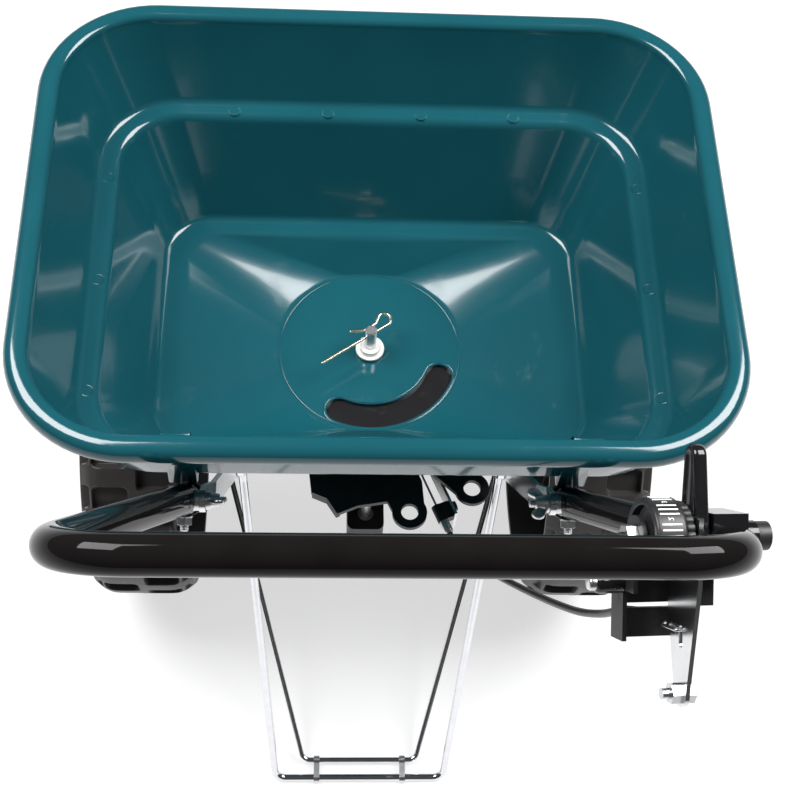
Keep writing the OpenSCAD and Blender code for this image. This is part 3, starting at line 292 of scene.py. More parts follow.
def merge(parts):
    """Joins (verts, faces) pairs."""
    verts, faces, base = [], [], 0
    for v, f in parts:
        verts.append(np.asarray(v, float))
        faces += [tuple(i + base for i in q) for q in f]
        base += len(v)
    return np.vstack(verts), faces


def inset_rings(outline, rings):
    """Closed solid from copies of a 2-D outline: rings are (height, inset), counter-clockwise outline."""
    p = np.asarray(outline, float)
    nxt, prv = np.roll(p, -1, axis=0), np.roll(p, 1, axis=0)
    d1, d2 = p - prv, nxt - p
    d1 /= np.linalg.norm(d1, axis=1)[:, None]
    d2 /= np.linalg.norm(d2, axis=1)[:, None]
    n1, n2 = np.c_[d1[:, 1], -d1[:, 0]], np.c_[d2[:, 1], -d2[:, 0]]
    mitre = (n1 + n2) / (1 + (n1 * n2).sum(axis=1))[:, None].clip(0.3)
    verts = []
    for z, inset in rings:
        verts += [(x, y, z) for x, y in p - mitre * inset]
    n = len(p)
    faces = [(i * n + k, i * n + (k + 1) % n, (i + 1) * n + (k + 1) % n, (i + 1) * n + k)
             for i in range(len(rings) - 1) for k in range(n)]
    faces.append(tuple(range(n))[::-1])
    faces.append(tuple((len(rings) - 1) * n + k for k in range(n)))
    return np.array(verts), faces


def loop_band(outline, section, z0):
    """Closed band along a 2-D outline: section is a closed loop of (height, inset)."""
    v, f = inset_rings(outline, [(z0 + z, inset) for z, inset in section])
    n, m = len(outline), len(section)
    return v, f[:-2] + [((m - 1) * n + k, (m - 1) * n + (k + 1) % n, (k + 1) % n, k) for k in range(n)]


def plate(outline, z1, z2, bevel=0.6):
    """Flat plate with softly broken edges from a 2-D outline, counter-clockwise."""
    return inset_rings(outline, [(z1, bevel), (z1 + bevel * 0.3, bevel * 0.3), (z1 + bevel, 0),
                                 (z2 - bevel, 0), (z2 - bevel * 0.3, bevel * 0.3), (z2, bevel)])


def arc(cx, cy, r, a1, a2, steps):
    return [(cx + r * math.cos(math.radians(a1 + (a2 - a1) * k / steps)),
             cy + r * math.sin(math.radians(a1 + (a2 - a1) * k / steps))) for k in range(steps + 1)]


def moved(pair, matrix=None, offset=(0, 0, 0)):
    """(verts, faces) turned by a 3x3 matrix, then moved."""
    v, f = pair
    v = np.asarray(v, float)
    if matrix is not None:
        v = v @ np.asarray(matrix, float).T
    return v + np.asarray(offset, float), f


def mirrored(pair):
    v, f = pair
    v = np.asarray(v, float).copy()
    v[:, 0] *= -1
    return v, [tuple(reversed(q)) for q in f]


# Handle frame

LOW = np.array([134.0, -186.0, 389.0])
BAR = np.array([187.0, -329.0, 634.0])
UP = unit(BAR * [0, 1, 1] - LOW * [0, 1, 1])
NORMAL = np.array([0, UP[2], -UP[1]])
ALONG = unit(BAR - LOW)
OUT = np.cross(NORMAL, ALONG)
TUBE = np.column_stack([OUT, NORMAL, ALONG])
CONTROL_S = 228.0
TUBE_R = 11.1
PIVOT_N = 4.0
LEVER_X = -TUBE_R - 6
LEVER_HALF = 4
ARM_HALF = 1.25
RING_T = 5
DRUM_T = 18
ARM_X = LEVER_X - LEVER_HALF - 0.3 - ARM_HALF
HOOK_R = 50.0


def on_tube(pair, s=CONTROL_S):
    """Places (verts, faces) given as outward, normal, along the right-hand tube."""
    return moved(pair, TUBE, LOW + ALONG * s)


# Materials


def new_group(name, inputs, outputs):
    tree = bpy.data.node_groups.new(name, "ShaderNodeTree")
    for label, kind, value in inputs:
        s = tree.interface.new_socket(name=label, in_out="INPUT", socket_type=kind)
        if value is not None:
            s.default_value = value
    for label, kind in outputs:
        tree.interface.new_socket(name=label, in_out="OUTPUT", socket_type=kind)
    return tree, tree.nodes.new("NodeGroupInput"), tree.nodes.new("NodeGroupOutput")


def add(tree, kind, **values):
    node = tree.nodes.new(kind)
    for key, value in values.items():
        if key.startswith("in_"):
            socket = int(key[3:]) if key[3:].isdigit() else key[3:].replace("_", " ").title()
            node.inputs[socket].default_value = value
        else:
            setattr(node, key, value)
    return node


def moulded_grain_group():
    """Fine skin of a moulded or painted surface: slow waves, small grain and a few scuffs."""
    name = "moulded_grain"
    if name in bpy.data.node_groups:
        return bpy.data.node_groups[name]
    tree, gin, gout = new_group(
        name,
        [("Wave Scale", "NodeSocketFloat", 30.0), ("Wave", "NodeSocketFloat", 0.3),
         ("Grain Scale", "NodeSocketFloat", 900.0), ("Grain", "NodeSocketFloat", 0.3),
         ("Scuff Scale", "NodeSocketFloat", 60.0)],
        [("Height", "NodeSocketFloat"), ("Tone", "NodeSocketFloat"), ("Scuff", "NodeSocketFloat")],
    )
    link = tree.links.new
    coord = add(tree, "ShaderNodeTexCoord")
    wave = add(tree, "ShaderNodeTexNoise")
    wave.inputs["Detail"].default_value = 2.0
    grain = add(tree, "ShaderNodeTexNoise")
    grain.inputs["Detail"].default_value = 4.0
    scuff = add(tree, "ShaderNodeTexNoise")
    scuff.inputs["Detail"].default_value = 8.0
    scuff.inputs["Roughness"].default_value = 0.7
    stretch = add(tree, "ShaderNodeMapping")
    stretch.inputs["Scale"].default_value = (1.0, 1.0, 4.0)
    stretch.inputs["Rotation"].default_value = (0.5, 0.3, 0.4)
    for n in (wave, grain):
        link(coord.outputs["Object"], n.inputs["Vector"])
    link(coord.outputs["Object"], stretch.inputs["Vector"])
    link(stretch.outputs["Vector"], scuff.inputs["Vector"])
    link(gin.outputs["Wave Scale"], wave.inputs["Scale"])
    link(gin.outputs["Grain Scale"], grain.inputs["Scale"])
    link(gin.outputs["Scuff Scale"], scuff.inputs["Scale"])
    w = add(tree, "ShaderNodeMath", operation="MULTIPLY")
    g = add(tree, "ShaderNodeMath", operation="MULTIPLY")
    total = add(tree, "ShaderNodeMath", operation="ADD")
    link(wave.outputs["Fac"], w.inputs[0])
    link(gin.outputs["Wave"], w.inputs[1])
    link(grain.outputs["Fac"], g.inputs[0])
    link(gin.outputs["Grain"], g.inputs[1])
    link(w.outputs[0], total.inputs[0])
    link(g.outputs[0], total.inputs[1])
    marks = add(tree, "ShaderNodeMapRange")
    marks.inputs["From Min"].default_value = 0.58
    marks.inputs["From Max"].default_value = 0.74
    link(scuff.outputs["Fac"], marks.inputs["Value"])
    link(total.outputs[0], gout.inputs["Height"])
    link(wave.outputs["Fac"], gout.inputs["Tone"])
    link(marks.outputs["Result"], gout.inputs["Scuff"])
    return tree


def surface(name, colour, rough, tone=0.15, scuff=0.12, metallic=0.0, coat=0.0, wave=(30, 0.3),
            grain=(900, 0.3), bump=0.05, scuff_scale=60, second=None, specular=0.5, rough_spread=0.12,
            coat_rough=0.05, bump_distance=0.0005, ior=1.5):
    """A procedural finish: colour, tone drift, scuffs in the roughness, and a fine bump."""
    mat = bpy.data.materials.new(name)
    mat.use_nodes = True
    tree = mat.node_tree
    tree.nodes.clear()
    link = tree.links.new
    out = add(tree, "ShaderNodeOutputMaterial")
    bsdf = add(tree, "ShaderNodeBsdfPrincipled")
    link(bsdf.outputs["BSDF"], out.inputs["Surface"])
    skin = add(tree, "ShaderNodeGroup")
    skin.node_tree = moulded_grain_group()
    skin.inputs["Wave Scale"].default_value = wave[0]
    skin.inputs["Wave"].default_value = wave[1]
    skin.inputs["Grain Scale"].default_value = grain[0]
    skin.inputs["Grain"].default_value = grain[1]
    skin.inputs["Scuff Scale"].default_value = scuff_scale
    mix = add(tree, "ShaderNodeMix", data_type="RGBA")
    other = second or tuple(min(1.0, c * (1 + 2.2 * tone) + 0.02 * tone) for c in colour)
    mix.inputs["A"].default_value = (*[c * (1 - tone) for c in colour], 1)
    mix.inputs["B"].default_value = (*other, 1)
    link(skin.outputs["Tone"], mix.inputs["Factor"])
    link(mix.outputs["Result"], bsdf.inputs["Base Color"])
    spread = add(tree, "ShaderNodeMapRange")
    spread.inputs["To Min"].default_value = rough
    spread.inputs["To Max"].default_value = min(1.0, rough + scuff + rough_spread)
    link(skin.outputs["Scuff"], spread.inputs["Value"])
    link(spread.outputs["Result"], bsdf.inputs["Roughness"])
    relief = add(tree, "ShaderNodeBump")
    relief.inputs["Strength"].default_value = bump
    relief.inputs["Distance"].default_value = bump_distance
    link(skin.outputs["Height"], relief.inputs["Height"])
    link(relief.outputs["Normal"], bsdf.inputs["Normal"])
    bsdf.inputs["Metallic"].default_value = metallic
    bsdf.inputs["IOR"].default_value = ior
    bsdf.inputs["Specular IOR Level"].default_value = specular
    bsdf.inputs["Coat Weight"].default_value = coat
    bsdf.inputs["Coat Roughness"].default_value = coat_rough
    return mat


FINISH = {}


def make_finishes():
    s = bpy.context.scene
    FINISH["hopper_teal"] = surface(
        "hopper_teal", s.spreader_hopper.colour, 0.13, tone=0.08, scuff=0.06, coat=0.3,
        wave=(12, 1.0), grain=(700, 0.012), bump=0.2, bump_distance=0.0012, specular=0.5, scuff_scale=25)
    FINISH["tube_paint"] = surface(
        "tube_paint", s.spreader_handle.paint, 0.05, tone=0.1, scuff=0.03, specular=0.4, ior=1.3,
        wave=(40, 0.5), grain=(1500, 0.03), bump=0.03, scuff_scale=80, rough_spread=0.03)
    FINISH["gloss_black"] = surface(
        "gloss_black", (0.006, 0.006, 0.007), 0.13, wave=(60, 0.4), grain=(1500, 0.1), bump=0.06)
    # Black plastic of the slide gate, darker than the other black plastic: painted shade for the port recess it is
    # seen through.
    FINISH["gate_black"] = surface(
        "gate_black", (0.003, 0.003, 0.004), 0.3, specular=0.35, wave=(60, 0.4), grain=(1800, 0.3), bump=0.08)
    FINISH["black_plastic"] = surface(
        "black_plastic", (0.012, 0.012, 0.013), 0.42, wave=(80, 0.3), grain=(2400, 0.5), bump=0.12)
    FINISH["gear_housing"] = surface(
        "gear_housing", (0.022, 0.022, 0.025), 0.4, wave=(80, 0.3), grain=(2400, 0.5), bump=0.12)
    FINISH["cap_plastic"] = surface(
        "cap_plastic", (0.02, 0.014, 0.011), 0.55, wave=(80, 0.3), grain=(2600, 0.6), bump=0.18)
    FINISH["dial_plastic"] = surface(
        "dial_plastic", (0.012, 0.012, 0.013), 0.38, wave=(80, 0.3), grain=(2600, 0.5), bump=0.12)
    FINISH["scale_white"] = surface(
        "scale_white", (0.75, 0.75, 0.74), 0.45, tone=0.08, wave=(90, 0.3), grain=(1800, 0.4), bump=0.05)
    FINISH["sheath_plastic"] = surface(
        "sheath_plastic", (0.012, 0.012, 0.013), 0.3, wave=(90, 0.3), grain=(2000, 0.3), bump=0.08)
    FINISH["wheel_plastic"] = surface(
        "wheel_plastic", s.spreader_wheels.colour, 0.42, tone=0.25, scuff=0.16, wave=(50, 0.5),
        grain=(1500, 0.6), bump=0.2, scuff_scale=40)
    FINISH["nylon"] = surface(
        "nylon", (0.78, 0.77, 0.73), 0.4, tone=0.06, wave=(90, 0.3), grain=(1800, 0.4), bump=0.08)
    FINISH["zinc"] = surface(
        "zinc", (0.62, 0.63, 0.64), 0.28, tone=0.12, metallic=1.0, wave=(220, 0.4), grain=(2600, 0.5),
        bump=0.08, scuff_scale=200)
    FINISH["zinc_bar"] = surface(
        "zinc_bar", (0.72, 0.73, 0.74), 0.2, tone=0.06, scuff=0.05, metallic=1.0, wave=(120, 0.3),
        grain=(2200, 0.3), bump=0.03, scuff_scale=150, rough_spread=0.05)
    FINISH["chrome_rod"] = surface(
        "chrome_rod", (0.75, 0.76, 0.78), 0.12, tone=0.05, metallic=1.0, wave=(120, 0.3), grain=(2200, 0.3),
        bump=0.03, scuff_scale=150)
    FINISH["steel_wire"] = surface(
        "steel_wire", (0.56, 0.56, 0.57), 0.3, tone=0.12, metallic=1.0, wave=(200, 0.3), grain=(2600, 0.5),
        bump=0.06, scuff_scale=200)
    FINISH["clip_wire"] = surface(
        "clip_wire", (0.62, 0.55, 0.42), 0.24, tone=0.12, metallic=1.0, wave=(300, 0.3), grain=(2600, 0.4),
        bump=0.05, scuff_scale=300)


# Hopper

HOPPER_RIM = (233.0, 176.0, 176.0, 68.0)
STEP_W = 13.0
UPPER_STEP, LOWER_STEP = 69.5, 163.5
FLOOR_Z, WALL = 280.0, 3.0
PORT_DIR, PORT_HALF, PORT_R1, PORT_R2 = -68.0, 46.0, 50.0, 71.0


def rim_section(w, f, b, r, grow=0.0, corner=16, side_x=14, side_y=12):
    """Points of a rounded rectangle, counter-clockwise from the right side's rear end."""
    w, f, b, r = w + grow, f + grow, b + grow, max(r + grow, 1.0)
    pts = []
    for k in range(side_y):
        pts.append((w, -b + r + (f + b - 2 * r) * k / side_y))
    pts += arc(w - r, f - r, r, 0, 90, corner)[:-1]
    for k in range(side_x):
        pts.append((w - r - 2 * (w - r) * k / side_x, f))
    pts += arc(-w + r, f - r, r, 90, 180, corner)[:-1]
    for k in range(side_y):
        pts.append((-w, f - r - (f + b - 2 * r) * k / side_y))
    pts += arc(-w + r, -b + r, r, 180, 270, corner)[:-1]
    for k in range(side_x):
        pts.append((-w + r + 2 * (w - r) * k / side_x, -b))
    pts += arc(w - r, -b + r, r, 270, 360, corner)[:-1]
    return np.array(pts)


def disc_section(radius, chord=0.0, corner=16, side_x=14, side_y=12):
    """The same number of points round a circle with four short flats."""
    half = math.degrees(math.asin(chord / radius)) if chord else 0.0
    flat = radius * math.cos(math.radians(half))
    pts = []
    for q, n in ((0, side_y), (90, side_x), (180, side_y), (270, side_x)):
        c, s = math.cos(math.radians(q)), math.sin(math.radians(q))
        for k in range(n):
            u = -chord + 2 * chord * k / n
            x, y = flat, u
            pts.append((x * c - y * s, x * s + y * c))
        turns = [math.radians(q + half + (90 - 2 * half) * k / corner) for k in range(corner)]
        pts += [(radius * math.cos(turn), radius * math.sin(turn)) for turn in turns]
    return np.array(pts)


def filleted_columns(sections, fillets, steps=4):
    """Rounds each column of a stack of sections at the inner levels."""
    rows = [np.array([sections[0]])[0]]
    for i in range(1, len(sections) - 1):
        p, a, b = sections[i], sections[i - 1], sections[i + 1]
        d = fillets[i]
        if d <= 0:
            rows.append(p)
            continue
        da, db = a - p, b - p
        la = np.linalg.norm(da, axis=1)[:, None]
        lb = np.linalg.norm(db, axis=1)[:, None]
        s1 = p + da / la * np.minimum(d, 0.45 * la)
        s2 = p + db / lb * np.minimum(d, 0.45 * lb)
        for k in range(steps + 1):
            t = k / steps
            rows.append((1 - t) ** 2 * s1 + 2 * t * (1 - t) * p + t * t * s2)
    rows.append(sections[-1])
    return rows


def level(points, z):
    return np.c_[points, np.full(len(points), z)]


def skin(rows, flip=False):
    n = len(rows[0])
    verts = np.vstack(rows)
    faces = []
    for i in range(len(rows) - 1):
        for k in range(n):
            q = (i * n + k, i * n + (k + 1) % n, (i + 1) * n + (k + 1) % n, (i + 1) * n + k)
            faces.append(q[::-1] if flip else q)
    return verts, faces


def hopper_levels(rim_z):
    """Main sections of the inner face from the rim down: (w, front, back, corner radius), height."""
    rim = HOPPER_RIM
    a = (rim[0] - 23, rim[1] - 23, rim[2] - 8, rim[3] - 8)
    b = (a[0] - STEP_W, a[1] - STEP_W, a[2] - STEP_W, a[3] - 12)
    c = (b[0] - 30.5, b[1] - 30.5, b[2] - 47, b[3] - 10)
    d = (c[0] - STEP_W - 2, c[1] - STEP_W - 2, c[2] - STEP_W - 1, c[3] - 11)
    upper, lower = rim_z - UPPER_STEP, rim_z - LOWER_STEP
    return [(rim, rim_z - 6.0), (a, upper), (b, upper), (c, lower), (d, lower)]


def hopper_shell(rim_z):
    """Closed shell of the hopper: inner face, rolled lip, outer face and floor."""
    top = HOPPER_RIM
    inner = [level(rim_section(*s), z) for s, z in hopper_levels(rim_z)]
    floor_in = level(disc_section(76.0, 22.0), FLOOR_Z)
    hub_in = [level(disc_section(r), z) for r, z in ((66.0, FLOOR_Z), (40.0, FLOOR_Z), (8.7, FLOOR_Z))]
    lip = [(0.6, -3.2), (2.0, -1.4), (4.2, -0.3), (7.0, 0.0), (10.2, -0.3), (13.2, -1.4), (15.4, -3.4),
           (16.6, -6.0), (17.0, -8.6), (17.0, -11.2), (16.6, -12.0), (14.6, -12.0), (14.1, -11.2),
           (14.0, -7.0), (12.5, -5.0), (6.5, -4.5), (3.4, -6.0), (3.0, -10.0)]
    lip_rows = [level(rim_section(*top, grow=g), rim_z + z) for g, z in lip]
    outer = [level(rim_section(*s, grow=WALL), z - (0 if i == 0 else WALL if i in (2, 4) else 0.0))
             for i, (s, z) in enumerate(hopper_levels(rim_z))]
    outer[1] = level(rim_section(*hopper_levels(rim_z)[1][0], grow=WALL), rim_z - UPPER_STEP - WALL)
    outer[3] = level(rim_section(*hopper_levels(rim_z)[3][0], grow=WALL), rim_z - LOWER_STEP - WALL)
    outer = outer[1:]
    floor_out = [level(disc_section(76.0 + WALL, 22.0), FLOOR_Z - WALL),
                 level(disc_section(8.7), FLOOR_Z - WALL)]
    down = filleted_columns([lip_rows[0]] + inner + [floor_in] + hub_in,
                            [0, 3.0, 5.0, 6.5, 5.0, 6.0, 3.0, 0, 0, 0], 5)
    up = filleted_columns([lip_rows[-1]] + outer + floor_out, [0, 5.0, 6.0, 5.0, 6.0, 4.0, 0], 3)
    rows = down[::-1] + lip_rows[1:-1] + up
    v, f = skin(rows)
    n = len(rows[0])
    m = len(rows)
    f = list(f) + [(k, (m - 1) * n + k, (m - 1) * n + (k + 1) % n, (k + 1) % n) for k in range(n)]
    return v, f


def port_outline(r1, r2, half, steps=40, ends=8):
    """Outline of the arc-shaped outlet port with round ends."""
    mid, end = (r1 + r2) / 2, (r2 - r1) / 2
    a1, a2 = PORT_DIR - half, PORT_DIR + half
    pts = arc(0, 0, r2, a1, a2, steps)
    c = (mid * math.cos(math.radians(a2)), mid * math.sin(math.radians(a2)))
    pts += arc(c[0], c[1], end, a2, a2 + 180, ends)[1:-1]
    pts += arc(0, 0, r1, a2, a1, steps)
    c = (mid * math.cos(math.radians(a1)), mid * math.sin(math.radians(a1)))
    pts += arc(c[0], c[1], end, a1 + 180, a1 + 360, ends)[1:-1]
    return pts


class SPREADER_OT_hopper(bpy.types.Operator):
    """Build the moulded hopper with its steps, funnel, rolled lip and outlet port"""

    bl_idname = "spreader.hopper"
    bl_label = "Hopper"

    def execute(self, context):
        rim_z = context.scene.spreader_hopper.rim_height / MM
        v, f = hopper_shell(rim_z)
        body = new_mesh("hopper_moulding", v, f, sharp=None)
        port = port_outline(PORT_R1, PORT_R2, PORT_HALF)
        pv = [(x, y, FLOOR_Z - 8) for x, y in port] + [(x, y, FLOOR_Z + 6) for x, y in port]
        n = len(port)
        pf = [tuple(range(n))[::-1], tuple(range(n, 2 * n))]
        pf += [(k, (k + 1) % n, n + (k + 1) % n, n + k) for k in range(n)]
        cutter = new_mesh("port_cutter", pv, pf)
        cut = body.modifiers.new("port", "BOOLEAN")
        cut.operation = "DIFFERENCE"
        cut.solver = "EXACT"
        cut.object = cutter
        apply_modifiers(body, sharp=38)
        bpy.data.objects.remove(cutter)
        finish_piece(body, "frame", FINISH["hopper_teal"], ["hopper"])
        # raised guide round the port's outer edge, and the disc's shallow rim
        ring = [(-0.1, 74.4), (0.7, 74.0), (0.9, 73.4), (0.7, 72.8), (-0.1, 72.4)]
        parts = [turn_profile([(z, r) for z, r in ring] + [ring[0]], (0, 0, FLOOR_Z), (0, 0, 1), 96)]
        rim = new_mesh("floor_ring", *merge(parts), sharp=60)
        finish_piece(rim, "frame", FINISH["hopper_teal"])
        bead = [(-0.6, -0.4), (0.5, -0.7), (0.9, -1.3), (0.9, -2.1), (0.5, -2.6), (-0.4, -2.9)]
        lip = loop_band(port, bead, FLOOR_Z)
        edge = new_mesh("port_lip", *lip, sharp=60)
        finish_piece(edge, "frame", FINISH["hopper_teal"])
        self.bosses(rim_z)
        self.ejector_marks(rim_z - UPPER_STEP)
        return {"FINISHED"}

    def ejector_marks(self, z):
        """Faint round marks that the mould's ejector pins leave along the upper step."""
        raised = [(-0.2, 4.7), (0.12, 4.6), (0.2, 4.3), (0.12, 4.0), (-0.2, 3.9), (-0.2, 4.7)]
        mark = turn_profile(raised, (0, 0, 0), (0, 0, 1), 40)
        spots = [(-110 + 73.3 * k, y, z) for y in (145.5, -161.5) for k in range(4)]
        spots += [(x, 78 - 93 * k, z) for x in (-203.5, 203.5) for k in range(3)]
        places = [(q, (0, 0, 1), 0.0) for q in spots]
        placed("ejector_marks", mark, places, "frame", "hopper_teal")

    def bosses(self, rim_z):
        """Rear bosses between the hopper's back wall and the handle tube."""
        seat = LOW + NORMAL * (TUBE_R + 0.2)
        slope = UP[1] / UP[2]
        face_y = LOW[1] + 12.5
        bend_z = seat[2] + (face_y - seat[1]) / slope
        low_z = seat[2] - 9.4
        side = [(face_y, bend_z), (seat[1] + (low_z - seat[2]) * slope, low_z), (-150, low_z),
                (-163, rim_z - 40), (-175, rim_z - 8), (face_y, rim_z - 8)]
        v, f = plate(side, LOW[0] - 10, LOW[0] + 10, 1.5)
        v = v[:, [2, 0, 1]]
        both = merge([(v, f), mirrored((v, f))])
        obj = new_mesh("rear_bosses", *both, sharp=40)
        finish_piece(obj, "frame", FINISH["hopper_teal"])


# Handle


def handle_points(s0):
    tip = LOW + ALONG * s0
    return [tip, BAR, BAR * [-1, 1, 1], tip * [-1, 1, 1]]


class SPREADER_OT_handle(bpy.types.Operator):
    """Build the painted tube handle and the caps on its lower ends"""

    bl_idname = "spreader.handle"
    bl_label = "Handle"

    def execute(self, context):
        s = context.scene.spreader_handle
        path = rounded_path(handle_points(-16), s.bend / MM, 24)
        v, f = sweep(path, s.tube / MM / 2, 48)
        tube = new_mesh("handle_bar", v, f, sharp=40)
        finish_piece(tube, "frame", FINISH["tube_paint"], ["handle_tube"])
        profile = [(-13.6, 0.4), (-13.4, 2.5), (-12.6, 5.2), (-11.0, 7.8), (-8.6, 10.1), (-5.4, 11.7),
                   (-2.0, 12.3), (3.4, 12.3), (4.0, 12.1), (4.2, 11.6), (4.2, 11.15), (3.4, 11.12)]
        cap = turn_profile(profile, LOW - ALONG * 16, ALONG, 48)
        caps = new_mesh("tube_end_caps", *merge([cap, mirrored(cap)]), sharp=45)
        finish_piece(caps, "frame", FINISH["cap_plastic"], ["tube_caps"])
        return {"FINISHED"}


# Wheels


TREAD_STEP = 360 / 24
TREAD_ARC = math.radians(TREAD_STEP) * 150


def wheel_body():
    """Inner band, ribbed web and hub of a wheel, about the x axis at the origin."""
    r, w = 150.0, 41.5
    half = [(w, r - 9), (w, r - 12.6), (w - 0.4, r - 13.6), (w - 1.4, r - 14), (5.5, r - 14), (3.2, r - 15),
            (2.5, r - 17.5), (2.5, 30), (3.2, 24), (6, 20.2), (9, 19.1), (43, 19), (43.5, 18.4), (43.5, 6.6)]
    band = half + [(-x, y) for x, y in half[::-1]] + [(-w + 0.8, r - 10.2), (w - 0.8, r - 10.2), half[0]]
    return turn_profile(band, (0, 0, 0), (1, 0, 0), 144)


def soft_box(u, x, half_u, half_x, corner, wall):
    """1 inside a round-cornered box on the tread, 0 outside, with a sloping wall between."""
    a = np.abs(u) - half_u + corner
    b = np.abs(x) - half_x + corner
    outside = np.hypot(np.maximum(a, 0), np.maximum(b, 0)) + np.minimum(np.maximum(a, b), 0) - corner
    t = np.clip(0.5 - outside / wall, 0, 1)
    return t * t * (3 - 2 * t)


def tread_depth(u, x):
    """Depth of the pockets at a place on the tread: u round the wheel, x across it."""
    pocket = np.zeros_like(x)
    for side, shift in ((1, 0.0), (-1, TREAD_ARC / 2)):
        for turn in (-1, 0, 1):
            v = u - shift - turn * TREAD_ARC
            pocket = np.maximum(pocket, soft_box(v, x - side * 17.5, 10.8, 13.5, 4.0, 1.8))
            pocket = np.maximum(pocket, soft_box(v, x - side * 42.0, 10.8, 8.0, 3.0, 1.8))
    return pocket


def tread_sector():
    """One sector of the crowned tread with its two staggered rows of pockets, at the top of the wheel."""
    near = [0, 2.2, 4.4, 6.0, 7.0, 7.7, 8.3, 8.9, 9.5, 10.0, 10.5, 11.0, 11.6, 12.3, 13.2, 14.6, 17.1]
    us = np.array([-TREAD_ARC / 2] + [-u for u in near[:0:-1]] + near + [TREAD_ARC / 2])
    half = [0, 1.5, 2.8, 3.5, 4.2, 5.0, 6.0, 7.2, 9.0, 13, 17.5, 22, 26, 27.8, 29.2, 30.2, 31.0, 31.8,
            32.6, 33.4, 34.2, 35.0, 36.2, 37.6, 39.2, 40.6, 41.5]
    xs = np.array([-x for x in half[:0:-1]] + half)
    u, x = np.meshgrid(us, xs, indexing="ij")
    across = [0, 20, 25, 28, 33, 36, 40, 41.5]
    crown = np.interp(np.abs(x), across, [150, 150, 149.8, 149.3, 147.4, 145.6, 142.3, 141])
    r = crown - np.maximum(crown - 142.0, 0) * tread_depth(u, x)
    t = u / 150.0
    verts = np.stack([x, -r * np.sin(t), r * np.cos(t)], axis=-1).reshape(-1, 3)
    n = len(xs)
    faces = [(i * n + k, i * n + k + 1, (i + 1) * n + k + 1, (i + 1) * n + k)
             for i in range(len(us) - 1) for k in range(n - 1)]
    return verts, faces


def wheel_spoke():
    """Stiffening rib on both sides of the web, at the top of the wheel."""
    out = [(18.5, -9.3), (134, -9.3), (136, -8.4), (136.4, -7.4),
           (136.4, 7.4), (136, 8.4), (134, 9.3), (18.5, 9.3)]
    v, f = plate([(y, x) for y, x in out], -2.4, 2.4, 0.6)
    return np.c_[v[:, 1], v[:, 2], v[:, 0]], f


def ring_array_tree(name):
    """Geometry Nodes: copies an object round the x axis at even steps."""
    tree = bpy.data.node_groups.new(name, "GeometryNodeTree")
    face = tree.interface
    face.new_socket(name="Geometry", in_out="INPUT", socket_type="NodeSocketGeometry")
    face.new_socket(name="Source", in_out="INPUT", socket_type="NodeSocketObject")
    face.new_socket(name="Count", in_out="INPUT", socket_type="NodeSocketInt")
    face.new_socket(name="Start Angle", in_out="INPUT", socket_type="NodeSocketFloat")
    face.new_socket(name="Axis", in_out="INPUT", socket_type="NodeSocketVector")
    face.new_socket(name="Centre", in_out="INPUT", socket_type="NodeSocketVector")
    face.new_socket(name="Material", in_out="INPUT", socket_type="NodeSocketMaterial")
    face.new_socket(name="Geometry", in_out="OUTPUT", socket_type="NodeSocketGeometry")
    n, link = tree.nodes, tree.links.new
    gin, gout = n.new("NodeGroupInput"), n.new("NodeGroupOutput")
    points = n.new("GeometryNodePoints")
    index = n.new("GeometryNodeInputIndex")
    step = n.new("ShaderNodeMath")
    step.operation = "DIVIDE"
    step.inputs[0].default_value = 2 * math.pi
    turn = n.new("ShaderNodeMath")
    turn.operation = "MULTIPLY_ADD"
    rotation = n.new("FunctionNodeAxisAngleToRotation")
    info = n.new("GeometryNodeObjectInfo")
    info.transform_space = "ORIGINAL"
    on_points = n.new("GeometryNodeInstanceOnPoints")
    real = n.new("GeometryNodeRealizeInstances")
    paint = n.new("GeometryNodeSetMaterial")
    link(gin.outputs["Count"], points.inputs["Count"])
    link(gin.outputs["Centre"], points.inputs["Position"])
    link(gin.outputs["Count"], step.inputs[1])
    link(index.outputs["Index"], turn.inputs[0])
    link(step.outputs[0], turn.inputs[1])
    link(gin.outputs["Start Angle"], turn.inputs[2])
    link(gin.outputs["Axis"], rotation.inputs["Axis"])
    link(turn.outputs[0], rotation.inputs["Angle"])
    link(gin.outputs["Source"], info.inputs["Object"])
    link(points.outputs["Points" if "Points" in points.outputs else 0], on_points.inputs["Points"])
    link(info.outputs["Geometry"], on_points.inputs["Instance"])
    link(rotation.outputs["Rotation"], on_points.inputs["Rotation"])
    link(on_points.outputs["Instances"], real.inputs["Geometry"])
    link(real.outputs["Geometry"], paint.inputs["Geometry"])
    link(gin.outputs["Material"], paint.inputs["Material"])
    link(paint.outputs["Geometry"], gout.inputs["Geometry"])
    return tree


def set_input(modifier, label, value):
    for item in modifier.node_group.interface.items_tree:
        if item.item_type == "SOCKET" and item.in_out == "INPUT" and item.name == label:
            modifier[item.identifier] = value
            return
    raise RuntimeError(f"no input named {label}")


def raw_object(name, pair, sharp=None, scale=MM):
    """An unplaced object in metres about the origin, for copying."""
    v, f = pair
    mesh = bpy.data.meshes.new(name)
    mesh.from_pydata([tuple(p) for p in np.asarray(v, float) * scale], [], [tuple(q) for q in f])
    bm = bmesh.new()
    bm.from_mesh(mesh)
    bmesh.ops.remove_doubles(bm, verts=bm.verts, dist=1e-6)
    bmesh.ops.recalc_face_normals(bm, faces=bm.faces)
    bm.to_mesh(mesh)
    bm.free()
    mesh.shade_smooth()
    if sharp is not None:
        mesh.set_sharp_from_angle(angle=math.radians(sharp))
    obj = bpy.data.objects.new(name, mesh)
    bpy.context.scene.collection.objects.link(obj)
    return obj


